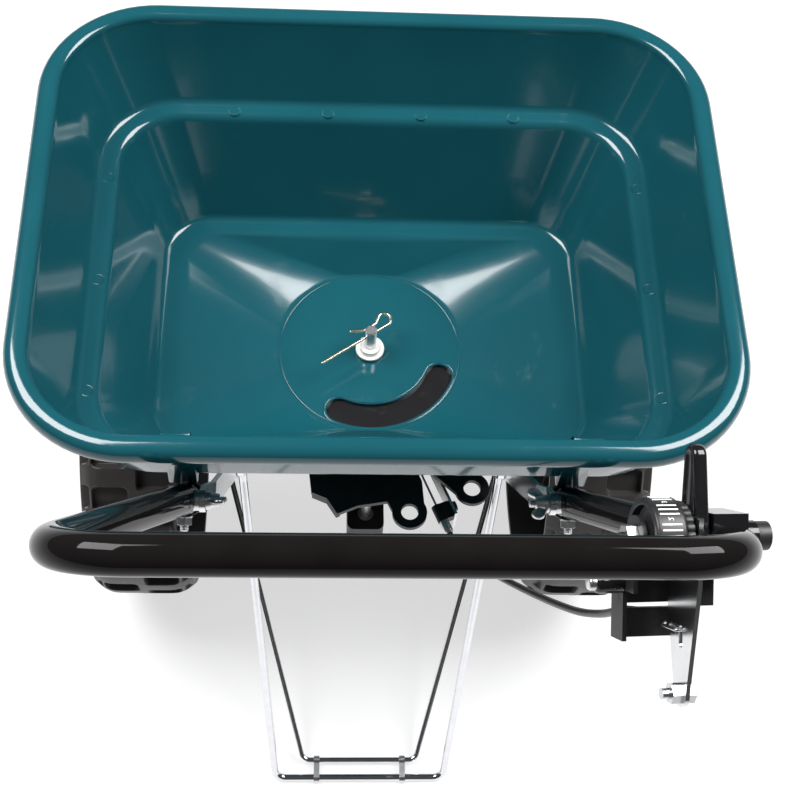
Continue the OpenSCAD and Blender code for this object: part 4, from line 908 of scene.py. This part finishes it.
def ring_of(name, source, count, start, axis, centre, material, sharp=None):
    """Copies of source round an axis, as one plain mesh."""
    tree = bpy.data.node_groups.get("ring_array") or ring_array_tree("ring_array")
    holder = bpy.data.objects.new(name, bpy.data.meshes.new(name))
    bpy.context.scene.collection.objects.link(holder)
    m = holder.modifiers.new("ring", "NODES")
    m.node_group = tree
    set_input(m, "Source", source)
    set_input(m, "Count", count)
    set_input(m, "Start Angle", math.radians(start))
    set_input(m, "Axis", axis)
    c = np.asarray(centre, float) * MM
    set_input(m, "Centre", (c[0], c[1] + SHIFT_Y, c[2]))
    set_input(m, "Material", material)
    holder.update_tag()
    return apply_modifiers(holder, sharp)


class SPREADER_OT_wheels(bpy.types.Operator):
    """Build both moulded wheels with their block treads and ribs"""

    bl_idname = "spreader.wheels"
    bl_label = "Wheels"

    def execute(self, context):
        count = context.scene.spreader_wheels.lugs
        mat = FINISH["wheel_plastic"]
        for side, body, node in ((-1, "axle_body", "wheel_left"), (1, "right_wheel", "wheel_right")):
            x = side * 187.5
            disc = new_mesh(f"{node}_disc", *moved(wheel_body(), None, (x, 0, AXLE_Z)), sharp=35)
            finish_piece(disc, body, mat, [node])
            sector = raw_object("sector", tread_sector(), 50)
            tread = ring_of(f"{node}_tread", sector, count, 0.0, (1, 0, 0), (x, 0, AXLE_Z), mat, 50)
            weld(tread, 50)
            finish_piece(tread, body, mat)
            rib = raw_object("rib", wheel_spoke(), 35)
            ribs = ring_of(f"{node}_ribs", rib, 8, 0.0, (1, 0, 0), (x, 0, AXLE_Z), mat, 35)
            finish_piece(ribs, body, mat)
            for o in (sector, rib):
                bpy.data.objects.remove(o)
        return {"FINISHED"}


# Rods, cable and clip


def strut_points():
    """Centreline of the right-hand strut in the y-z plane, and its x at each height."""
    top = LOW[1:] + ALONG[1:] * 4
    knee = np.array([-48.0, 208.0])
    strut_x = LOW[0] - TUBE_R - 2.0 - 1.2
    jog_z1 = top[1] - 7
    jog_z2 = jog_z1 - 9
    jog_z3 = AXLE_Z + 36
    return top, knee, strut_x, strut_x - 5.5, jog_z1, jog_z2, jog_z3


LOW_X = 93.0


def leg_place():
    """Centre and axis of the right-hand leg bolt."""
    top, knee, _, jog_x, _, z2, z3 = strut_points()
    lean = math.atan2(jog_x - LOW_X, z2 - z3)
    at = top + (knee - top) * 0.54
    x = jog_x - (z2 - at[1]) * math.tan(lean)
    return np.array([x, at[0], at[1]]), np.array([math.cos(lean), 0, -math.sin(lean)])


def disc(centre, axis, radius, half, bevel=0.7, steps=40):
    """Round tab with softly broken edges."""
    profile = [(-half, 0.3), (-half, radius - bevel), (-half + bevel * 0.3, radius - bevel * 0.3),
               (-half + bevel, radius), (half - bevel, radius), (half - bevel * 0.3, radius - bevel * 0.3),
               (half, radius - bevel), (half, 0.3)]
    return turn_profile(profile, centre, axis, steps)


def rod_with_tabs(points, bend, radius, tab_at, tab_axis, tab_r, tab_half, sides=20):
    """Bent rod whose ends are beaten flat into round tabs."""
    path = rounded_path(points, bend, 14)
    parts = [sweep(path, radius, sides)]
    tab = disc(tab_at, tab_axis, tab_r, tab_half)
    parts += [tab, mirrored(tab)]
    inner = unit(points[1] - points[0])
    neck = [points[0] - inner * 3 + inner * t for t in (0, 4, 8, 13)]
    flat = sweep(neck, [radius * 1.25, radius * 1.2, radius * 1.08, radius * 0.98], sides)
    parts += [flat, mirrored(flat)]
    return merge(parts)


class SPREADER_OT_rods(bpy.types.Operator):
    """Build the wire stand and its brace"""

    bl_idname = "spreader.rods"
    bl_label = "Rods"

    def execute(self, context):
        at, axis = leg_place()
        tab_at = at - axis * 5.08
        corner = np.array([74.0, -277.0, 3.2])
        rod_at = at - axis * 5.4
        start = rod_at + unit(corner - rod_at) * 4.5
        both = np.array([-1.0, 1.0, 1.0])
        v, f = rod_with_tabs([start, corner, corner * both, start * both], 10, 3.2, tab_at, axis, 8.5, 2.86)
        stand = new_mesh("wire_stand", v, f, sharp=50)
        finish_piece(stand, "frame", FINISH["chrome_rod"], ["leg_rod"])
        eye = np.array([130.0, 0.0, AXLE_Z])
        foot = np.array([50.0, -262.0, 5.5])
        start = eye + unit(foot - eye) * 11.15
        v, f = rod_with_tabs([start, foot, foot * both, start * both], 8, 2.5, eye, (1, 0, 0), 11.8, 2.0)
        brace = new_mesh("stand_brace", v, f, sharp=50)
        finish_piece(brace, "frame", FINISH["chrome_rod"], ["brace_rod"])
        return {"FINISHED"}


PORT_OUT = np.array([math.cos(math.radians(PORT_DIR)), math.sin(math.radians(PORT_DIR)), 0])
CLIP_AT = np.array([PORT_OUT[0] * 145, PORT_OUT[1] * 145, 259.9])
CABLE_POINTS = ((136, -306, 500), (131, -297, 470), (124, -284, 438), (116, -266, 404), (107, -245, 368),
                (98, -224, 334), (89, -204, 303), (80, -189, 279))


class SPREADER_OT_cable(bpy.types.Operator):
    """Build the cable sheath with the ferrules at its two ends"""

    bl_idname = "spreader.cable"
    bl_label = "Cable"

    def execute(self, context):
        top = LOW + ALONG * (CONTROL_S - 28) + OUT * ARM_X + NORMAL * (PIVOT_N - HOOK_R)
        upper = [top - ALONG * 11 * k for k in range(4)]
        lower = [CLIP_AT + PORT_OUT * 11 * k for k in (3, 2, 1, 0)]
        path = smooth_path(upper + [np.array(p, float) for p in CABLE_POINTS] + lower, 8)
        v, f = sweep(path, 2.5, 20)
        cable = new_mesh("sheath_tube", v, f, sharp=50)
        finish_piece(cable, "frame", FINISH["sheath_plastic"], ["cable_sheath"])
        profile = [(-1, 2.6), (-1, 3.4), (-0.5, 3.9), (9, 3.9), (9.6, 3.6), (10.2, 3.1), (11, 2.6),
                   (-1, 2.6)]
        ends = merge([turn_profile(profile, CLIP_AT + PORT_OUT * 9, PORT_OUT, 32),
                      turn_profile(profile, top - ALONG * 9, -ALONG, 32)])
        ferrules = new_mesh("cable_ferrules", *ends, sharp=40)
        finish_piece(ferrules, "frame", FINISH["zinc"])
        return {"FINISHED"}


class SPREADER_OT_agitator(bpy.types.Operator):
    """Build the spring clip that stirs over the port"""

    bl_idname = "spreader.agitator"
    bl_label = "Agitator Clip"

    def execute(self, context):
        side = 4.75 + 1.2 + 0.2
        flat = [(-47, 0), (19.5, 0), (24, 7), (17.5, 12), (9, side), (-2, side), (-12, side + 5)]
        c, s = math.cos(math.radians(35)), math.sin(math.radians(35))
        points = [np.array([x * c - y * s, x * s + y * c, FLOOR_Z + 25]) for x, y in flat]
        v, f = sweep(rounded_path(points, 4, 10), 1.2, 16, "round")
        clip = new_mesh("stirring_clip", v, f, sharp=50)
        finish_piece(clip, "spinner_body", FINISH["clip_wire"], ["agitator_clip"])
        return {"FINISHED"}


# Fasteners


def hex_outline(af, steps=48):
    out = []
    for k in range(steps):
        t = 2 * math.pi * k / steps
        local = (t + math.pi / 6) % (math.pi / 3) - math.pi / 6
        out.append((t, af / 2 / math.cos(local)))
    return out


def hex_solid(af, h, bore=0.0, chamfer_low=True, dome=0.0, start=0.0):
    """Hexagon with chamfered corners along z, from start; with a bore it is a nut, without it a head."""
    rc = af / 2 * 0.985
    rings = []
    ring = hex_outline(af)
    if bore:
        rings.append([(t, bore, start + 0.5) for t, r in ring])
        rings.append([(t, bore + 0.5, start) for t, r in ring])
    else:
        rings.append([(t, 0.2, start) for t, r in ring])
    rings.append([(t, rc, start) for t, r in ring])
    low = 0.577 if chamfer_low else 0.05
    rings.append([(t, r, start + (r - rc) * low + 0.05) for t, r in ring])
    rings.append([(t, r, start + h - (r - rc) * 0.577 - 0.05) for t, r in ring])
    rings.append([(t, rc, start + h) for t, r in ring])
    if bore:
        rings.append([(t, bore + 0.5, start + h) for t, r in ring])
        rings.append([(t, bore, start + h - 0.5) for t, r in ring])
        rings.append(rings[0])
    else:
        rings.append([(t, rc * 0.75, start + h + dome * 0.4) for t, r in ring])
        rings.append([(t, 0.2, start + h + dome) for t, r in ring])
    verts = [(r * math.cos(t), r * math.sin(t), z) for q in rings for t, r, z in q]
    n = len(ring)
    faces = [(i * n + k, i * n + (k + 1) % n, (i + 1) * n + (k + 1) % n, (i + 1) * n + k)
             for i in range(len(rings) - 1) for k in range(n)]
    if not bore:
        faces += [tuple(range(n))[::-1], tuple((len(rings) - 1) * n + k for k in range(n))]
    return np.array(verts, float), faces


def threaded(r, z1, z2, pitch=1.25, steps=28):
    """Threaded end of a bolt along z."""
    profile = [(z1, 0.2), (z1, r - 0.8), (z1 + 0.7, r - 0.1)]
    z = z1 + 0.7
    while z + pitch < z2:
        profile += [(z + pitch * 0.5, r - 0.6), (z + pitch, r - 0.05)]
        z += pitch
    profile += [(z2, r - 0.1), (z2, 0.2)]
    return turn_profile(profile, (0, 0, 0), (0, 0, 1), steps)


def washer(r1, r2, z1, z2):
    profile = [(z1, r1), (z1, r2 - 0.3), (z1 + 0.3, r2), (z2 - 0.3, r2), (z2, r2 - 0.3), (z2, r1), (z1, r1)]
    return turn_profile(profile, (0, 0, 0), (0, 0, 1), 40)


def placed_tree(name):
    """Geometry Nodes: copies an object to the holder's points, its z along each point's direction."""
    tree = bpy.data.node_groups.new(name, "GeometryNodeTree")
    face = tree.interface
    face.new_socket(name="Geometry", in_out="INPUT", socket_type="NodeSocketGeometry")
    face.new_socket(name="Source", in_out="INPUT", socket_type="NodeSocketObject")
    face.new_socket(name="Material", in_out="INPUT", socket_type="NodeSocketMaterial")
    face.new_socket(name="Geometry", in_out="OUTPUT", socket_type="NodeSocketGeometry")
    n, link = tree.nodes, tree.links.new
    gin, gout = n.new("NodeGroupInput"), n.new("NodeGroupOutput")
    points = n.new("GeometryNodeMeshToPoints")
    way = n.new("GeometryNodeInputNamedAttribute")
    way.data_type = "FLOAT_VECTOR"
    way.inputs["Name"].default_value = "direction"
    spin = n.new("GeometryNodeInputNamedAttribute")
    spin.data_type = "FLOAT"
    spin.inputs["Name"].default_value = "spin"
    turn = n.new("FunctionNodeAxisAngleToRotation")
    turn.inputs["Axis"].default_value = (0, 0, 1)
    align = n.new("FunctionNodeAlignRotationToVector")
    align.axis = "Z"
    both = n.new("FunctionNodeRotateRotation")
    both.rotation_space = "LOCAL"
    info = n.new("GeometryNodeObjectInfo")
    info.transform_space = "ORIGINAL"
    copies = n.new("GeometryNodeInstanceOnPoints")
    real = n.new("GeometryNodeRealizeInstances")
    paint = n.new("GeometryNodeSetMaterial")
    link(gin.outputs["Geometry"], points.inputs["Mesh"])
    link(way.outputs["Attribute"], align.inputs["Vector"])
    link(spin.outputs["Attribute"], turn.inputs["Angle"])
    link(align.outputs["Rotation"], both.inputs["Rotation"])
    link(turn.outputs["Rotation"], both.inputs["Rotate By"])
    link(gin.outputs["Source"], info.inputs["Object"])
    link(points.outputs["Points"], copies.inputs["Points"])
    link(info.outputs["Geometry"], copies.inputs["Instance"])
    link(both.outputs["Rotation"], copies.inputs["Rotation"])
    link(copies.outputs["Instances"], real.inputs["Geometry"])
    link(real.outputs["Geometry"], paint.inputs["Geometry"])
    link(gin.outputs["Material"], paint.inputs["Material"])
    link(paint.outputs["Geometry"], gout.inputs["Geometry"])
    return tree


def placed(name, pair, places, body, finish, nodes=(), sharp=35):
    """Copies of one shape at (point, direction, spin in degrees) places, as one plain mesh."""
    source = raw_object(name + "_source", pair, sharp)
    tree = bpy.data.node_groups.get("placed_copies") or placed_tree("placed_copies")
    mesh = bpy.data.meshes.new(name)
    mesh.from_pydata([tuple(p) for p in to_row([q[0] for q in places])], [], [])
    mesh.attributes.new("direction", "FLOAT_VECTOR", "POINT").data.foreach_set(
        "vector", [c for q in places for c in unit(q[1])])
    turns = [math.radians(q[2]) for q in places]
    mesh.attributes.new("spin", "FLOAT", "POINT").data.foreach_set("value", turns)
    holder = bpy.data.objects.new(name, mesh)
    bpy.context.scene.collection.objects.link(holder)
    m = holder.modifiers.new("placed", "NODES")
    m.node_group = tree
    set_input(m, "Source", source)
    set_input(m, "Material", FINISH[finish])
    holder.update_tag()
    apply_modifiers(holder, sharp)
    bpy.data.objects.remove(source)
    return finish_piece(holder, body, FINISH[finish], nodes)


def both_ways(point, way, spin=0.0):
    """The place and its mirror image across the middle plane."""
    point, way = np.asarray(point, float), np.asarray(way, float)
    flip = np.array([-1.0, 1.0, 1.0])
    return [(point, way, spin), (point * flip, way * flip, -spin)]


def wing_nut_solid():
    """Wing nut along z, its seat at z = 0."""
    boss = [(0, 3.2), (0, 6.4), (0.5, 6.6), (3.4, 6.2), (4.2, 5.6),
            (9.0, 4.7), (9.4, 4.3), (9.4, 3.2), (0, 3.2)]
    hub = turn_profile(boss, (0, 0, 0), (0, 0, 1), 36)
    parts = [hub]
    wing = arc(12.2, 9.0, 4.6, -70, 150, 12) + [(7.0, 9.6), (3.9, 7.4), (3.9, 1.6), (6.2, 1.4), (9.5, 3.0)]
    v, f = plate(wing, -1.25, 1.25, 0.6)
    one = (v[:, [0, 2, 1]] * [1, -1, 1], f)
    parts += [one, (one[0] * [-1, -1, 1], one[1])]
    return merge(parts)


class SPREADER_OT_fasteners(bpy.types.Operator):
    """Build the bolts, nuts and wing nuts of the handle, the struts and the stand"""

    bl_idname = "spreader.fasteners"
    bl_label = "Fasteners"

    def execute(self, context):
        top, _, strut_x = strut_points()[:3]
        cross = np.array([0.0, top[0], top[1]])
        out_x = LOW[0] + ALONG[0] * 4 + TUBE_R + 0.6
        x_dir = np.array([1.0, 0, 0])
        bolt = merge([hex_solid(10, 4, dome=0.3), threaded(3.1, -(out_x - strut_x + 16), 0)])
        placed("cross_bolts", bolt, both_ways(cross + x_dir * out_x, x_dir, 12), "frame", "zinc",
               ["handle_bolts"])
        seat = strut_x - 2.2
        left = (cross * [1, 1, 1] - x_dir * seat, x_dir, 28)
        right = (cross + x_dir * seat, -x_dir, -62)
        placed("thumb_nuts", wing_nut_solid(), [left, right], "frame", "zinc", ["wing_nuts"])
        stud_at = LOW + ALONG * -6.5
        nut = merge([washer(3.2, 5.8, 0, 1.3), hex_solid(10, 5, bore=3.0, start=1.4)])
        nut_places = both_ways(stud_at - NORMAL * (TUBE_R + 0.2), -NORMAL, 8)
        placed("stud_nuts", nut, nut_places, "frame", "zinc", ["tube_nuts"])
        stud = threaded(3.1, -(TUBE_R + 11), TUBE_R + 10)
        placed("studs", stud, both_ways(stud_at, NORMAL, 0), "frame", "zinc", ["tube_bolts"])
        at, axis = leg_place()
        nut_end = 7.96 + 5.8
        bolt = merge([hex_solid(10, 4, dome=0.3, start=2.2), threaded(3.1, -nut_end + 0.2, 2.2),
                      hex_solid(10, 5, bore=3.0, start=-nut_end)])
        placed("stand_bolts", bolt, both_ways(at, axis, 20), "frame", "zinc", ["leg_bolts"])
        return {"FINISHED"}


# Rate control


def digit_shapes(labels, height):
    """Meshes of the scale's digits, flat and centred, from the built-in font."""
    out = []
    for text in labels:
        curve = bpy.data.curves.new("digit", "FONT")
        curve.body = text
        curve.size = height * 1.4
        curve.align_x, curve.align_y = "CENTER", "CENTER"
        curve.extrude = 0.2
        curve.resolution_u = 3
        obj = bpy.data.objects.new("digit", curve)
        bpy.context.scene.collection.objects.link(obj)
        bpy.context.view_layer.update()
        mesh = bpy.data.meshes.new_from_object(obj.evaluated_get(bpy.context.evaluated_depsgraph_get()))
        v = np.array([tuple(p.co) for p in mesh.vertices])
        f = [tuple(p.vertices) for p in mesh.polygons]
        mid = (v.min(axis=0) + v.max(axis=0)) / 2
        v[:, :2] -= mid[:2]
        out.append((v, f))
        bpy.data.objects.remove(obj)
        bpy.data.curves.remove(curve)
        bpy.data.meshes.remove(mesh)
    return out


def wrapped(pair, x, r, angle):
    """Wraps a flat shape round a drum whose axis is x: its own x runs round the drum."""
    v, f = pair
    t = np.radians(angle) + v[:, 0] / r
    rr = r + v[:, 2]
    return np.c_[x + v[:, 1], rr * np.sin(t), rr * np.cos(t)], f


class SPREADER_OT_rate_control(bpy.types.Operator):
    """Build the dial with its scale, the knurled ring and the thumb lever"""

    bl_idname = "spreader.rate_control"
    bl_label = "Rate Control"

    def execute(self, context):
        x2 = ARM_X - ARM_HALF - 1 - RING_T - 0.3
        x1 = ARM_X - ARM_HALF - 1 - RING_T - DRUM_T + 0.3
        r = 21.5
        pivot = (0, PIVOT_N, 0)
        drum = [(x2, 3.25), (x2, r - 1.4), (x2 - 0.4, r - 0.5), (x2 - 1.2, r - 0.1), (x2 - 2.0, r),
                (x1 + 2.0, r), (x1 + 1.0, r - 0.2), (x1 + 0.3, r - 0.8),
                (x1, r - 1.8), (x1, r - 3.6), (x1 + 0.4, r - 4.0), (x1 + 4.6, r - 4.2),
                (x1 + 5.0, r - 4.8), (x1 + 5.0, 10), (x1 + 4.6, 9.4), (x1 + 0.4, 9.0),
                (x1, 8.4), (x1, 3.25), (x2, 3.25)]
        parts = [turn_profile(drum, (0, 0, 0), (1, 0, 0), 96)]
        dial = new_mesh("dial_drum", *on_tube(moved(merge(parts), None, pivot)), sharp=35)
        finish_piece(dial, "dial_body", FINISH["dial_plastic"], ["rate_dial"])
        marks = []
        for k in range(44):
            if k % 4:
                v, f = plate([(-0.5, 0), (0.5, 0), (0.5, 11.2), (-0.5, 11.2)], 0.0, 0.45, 0.12)
                marks.append(wrapped((v + [0, x1 + 3.0, -0.1], f), 0, r, 360 / 44 * k))
        digits = digit_shapes([str(k) for k in range(1, 12)], 3.0)
        for k, shape in enumerate(digits):
            v, f = shape
            marks.append(wrapped((v + [0, x1 + 8.6, 0.05], f), 0, r, 360 / 11 * k))
        scale = new_mesh("dial_scale", *on_tube(moved(merge(marks), None, pivot)), sharp=40, clean=False)
        finish_piece(scale, "dial_body", FINISH["scale_white"])
        self.ring(pivot)
        self.lever()
        self.knob()
        return {"FINISHED"}

    def ring(self, pivot):
        """Knurled ring beside the dial."""
        x2 = ARM_X - ARM_HALF - 1
        outline = []
        for k in range(24 * 6):
            t = 2 * math.pi * k / (24 * 6)
            outline.append(((19.5 - 0.9 * max(0.0, math.cos(24 * t)) ** 2) * math.cos(t),
                            (19.5 - 0.9 * max(0.0, math.cos(24 * t)) ** 2) * math.sin(t)))
        rings = [(0, 15), (0, 0.8), (0.3, 0.2), (0.9, 0), (4.1, 0), (4.7, 0.2), (5, 0.8), (5, 15)]
        v, f = inset_rings(outline, rings)
        v = np.c_[x2 - 5 + v[:, 2], v[:, 0], v[:, 1]]
        ring = new_mesh("knurled_ring", *on_tube(moved((v, f), None, pivot)), sharp=40)
        finish_piece(ring, "dial_body", FINISH["black_plastic"], ["dial_ring"])

    def lever(self):
        """Thumb lever: a round-ended paddle with a groove down both faces."""
        reach = 50.0
        half = math.degrees(math.asin((12 - 7) / (reach - 7)))
        outline = arc(0, 0, 12, 90 + half, 270 - half, 20) + arc(reach - 7, 0, 7, -90 + half, 90 - half, 16)
        t = 4.0
        rings = [(-t + 1.3, 5.2), (-t + 1.0, 4.4), (-t + 0.2, 3.6), (-t, 3.0), (-t, 2.0), (-t + 0.5, 0.8),
                 (-t + 1.6, 0.15), (-t + 3, 0), (t - 3, 0), (t - 1.6, 0.15), (t - 0.5, 0.8), (t, 2.0),
                 (t, 3.0), (t - 0.2, 3.6), (t - 1.0, 4.4), (t - 1.3, 5.2)]
        v, f = inset_rings(outline, rings)
        v = np.c_[LEVER_X + v[:, 2], PIVOT_N + v[:, 0], v[:, 1]]
        paddle = new_mesh("thumb_lever", *on_tube((v, f)), sharp=50)
        finish_piece(paddle, "lever_body", FINISH["gloss_black"], ["control_lever"])

    def knob(self):
        """Black knob with a bright end below the dial."""
        x = ARM_X - ARM_HALF - 1 - RING_T - DRUM_T - 1.2 - 2.5
        at = (x, PIVOT_N - 26, -16)
        body = [(0, 0.3), (0, 5.6), (-0.6, 6), (-13.0, 6), (-14.6, 5.6), (-15.6, 4.6), (-16, 3.5), (-16, 0.3)]
        knob = turn_profile([(-a, r) for a, r in body], at, (-1, 0, 0), 48)
        piece = new_mesh("stop_knob_body", *on_tube(knob), sharp=45)
        finish_piece(piece, "frame", FINISH["gloss_black"], ["stop_knob"])
        end = turn_profile([(15.8, 0.3), (15.8, 4.2), (18.6, 4.2), (19.4, 3.8), (19.9, 2.8), (20, 0.3)], at,
                           (-1, 0, 0), 40)
        tip = new_mesh("stop_knob_tip", *on_tube(end), sharp=45)
        finish_piece(tip, "frame", FINISH["zinc"])


# Solids kept as they are


class SPREADER_OT_kept_solids(bpy.types.Operator):
    """Give every solid that is shown as it is the finish of its slot; the slide gate takes a darker black with
    painted shade for the port, the saddle gloss black
    """

    bl_idname = "spreader.kept_solids"
    bl_label = "Kept Solids"

    def execute(self, context):
        # the slide gate gets the darker black with painted shade for the port above it
        own_finish = {"slide_gate": "gate_black", "control_saddle": "gloss_black"}
        for name, obj in FRAME["nodes"].items():
            obj.data.materials.clear()
            obj.data.materials.append(FINISH[own_finish.get(name, SLOT_OF[name])])
        return {"FINISHED"}


# Stage


CAMERA_AT = (-47.0, -604.0, 1290.0)
CAMERA_YAW, CAMERA_PITCH, CAMERA_ROLL = 7.21, 60.76, 7.06
CAMERA_F = 1443.0


def aim_camera():
    y, p, r = (math.radians(a) for a in (CAMERA_YAW, CAMERA_PITCH, CAMERA_ROLL))
    fwd = Vector((math.sin(y) * math.cos(p), math.cos(y) * math.cos(p), -math.sin(p)))
    right = Vector((math.cos(y), -math.sin(y), 0))
    up = right.cross(fwd)
    r2 = math.cos(r) * right + math.sin(r) * up
    u2 = -math.sin(r) * right + math.cos(r) * up
    data = bpy.data.cameras.new("photo_camera")
    data.sensor_fit = "HORIZONTAL"
    data.sensor_width = 36.0
    data.lens = CAMERA_F / 800.0 * 36.0
    data.clip_start, data.clip_end = 0.05, 30.0
    cam = bpy.data.objects.new("photo_camera", data)
    bpy.context.scene.collection.objects.link(cam)
    m = Matrix.Identity(4)
    for i in range(3):
        m[i][0], m[i][1], m[i][2] = r2[i], u2[i], -fwd[i]
    c = Vector(CAMERA_AT) * MM
    m[0][3], m[1][3], m[2][3] = c.x, c.y + SHIFT_Y, c.z
    cam.matrix_world = m
    bpy.context.scene.camera = cam
    return cam


def soft_light(name, at, target, size, power, shape="RECTANGLE", size_y=None, colour=(1, 1, 1)):
    data = bpy.data.lights.new(name, "AREA")
    data.shape = shape
    data.size = size
    data.size_y = size_y or size
    data.energy = power
    data.color = colour
    obj = bpy.data.objects.new(name, data)
    bpy.context.scene.collection.objects.link(obj)
    obj.location = at
    obj.rotation_mode = "QUATERNION"
    obj.rotation_quaternion = (Vector(target) - Vector(at)).to_track_quat("-Z", "Y")
    return obj


class SPREADER_OT_stage(bpy.types.Operator):
    """Set the pale floor, the soft studio lights and the camera"""

    bl_idname = "spreader.stage"
    bl_label = "Stage"

    def execute(self, context):
        scene = context.scene
        aim_camera()
        v = [(-6000, -6000, 0), (6000, -6000, 0), (6000, 6000, 0), (-6000, 6000, 0)]
        floor = new_mesh("pale_floor", v, [(0, 1, 2, 3)], clean=False)
        mat = bpy.data.materials.new("floor_paper")
        mat.use_nodes = True
        b = mat.node_tree.nodes["Principled BSDF"]
        b.inputs["Base Color"].default_value = (0.4, 0.4, 0.405, 1)
        b.inputs["Roughness"].default_value = 0.6
        b.inputs["Emission Color"].default_value = (1, 1, 1, 1)
        b.inputs["Emission Strength"].default_value = 0.65
        floor.data.materials.append(mat)
        world = bpy.data.worlds.new("studio")
        world.use_nodes = True
        world.node_tree.nodes["Background"].inputs["Color"].default_value = (1, 1, 1, 1)
        world.node_tree.nodes["Background"].inputs["Strength"].default_value = 0.07
        scene.world = world
        scene.view_settings.view_transform = "Standard"
        soft_light("box_left", (-1.05, 0.35, 2.1), (0, 0, 0.3), 1.0, 56, size_y=1.3)
        soft_light("box_right", (1.2, 0.35, 2.0), (0, 0, 0.3), 1.0, 56, size_y=1.3)
        return {"FINISHED"}


# Panel and registration


class SPREADER_PT_panel(bpy.types.Panel):
    """Lists the spreader's pieces"""

    bl_label = "Spreader"
    bl_idname = "SPREADER_PT_panel"
    bl_space_type = "VIEW_3D"
    bl_region_type = "UI"
    bl_category = "Spreader"

    def draw(self, context):
        layout = self.layout
        for op in OPERATORS:
            layout.operator(op.bl_idname)


OPERATORS = (
    SPREADER_OT_kept_solids,
    SPREADER_OT_hopper,
    SPREADER_OT_handle,
    SPREADER_OT_wheels,
    SPREADER_OT_rods,
    SPREADER_OT_cable,
    SPREADER_OT_agitator,
    SPREADER_OT_fasteners,
    SPREADER_OT_rate_control,
    SPREADER_OT_stage,
)
SETTINGS = (HopperSettings, HandleSettings, WheelSettings)


def register():
    for cls in SETTINGS + OPERATORS + (SPREADER_PT_panel,):
        bpy.utils.register_class(cls)
    bpy.types.Scene.spreader_hopper = bpy.props.PointerProperty(type=HopperSettings)
    bpy.types.Scene.spreader_handle = bpy.props.PointerProperty(type=HandleSettings)
    bpy.types.Scene.spreader_wheels = bpy.props.PointerProperty(type=WheelSettings)


def unregister():
    del bpy.types.Scene.spreader_hopper
    del bpy.types.Scene.spreader_handle
    del bpy.types.Scene.spreader_wheels
    for cls in reversed(SETTINGS + OPERATORS + (SPREADER_PT_panel,)):
        bpy.utils.unregister_class(cls)


def main():
    register()
    make_finishes()
    for op in OPERATORS:
        getattr(bpy.ops.spreader, op.bl_idname.split(".")[1])()


if __name__ == "__main__":
    main()
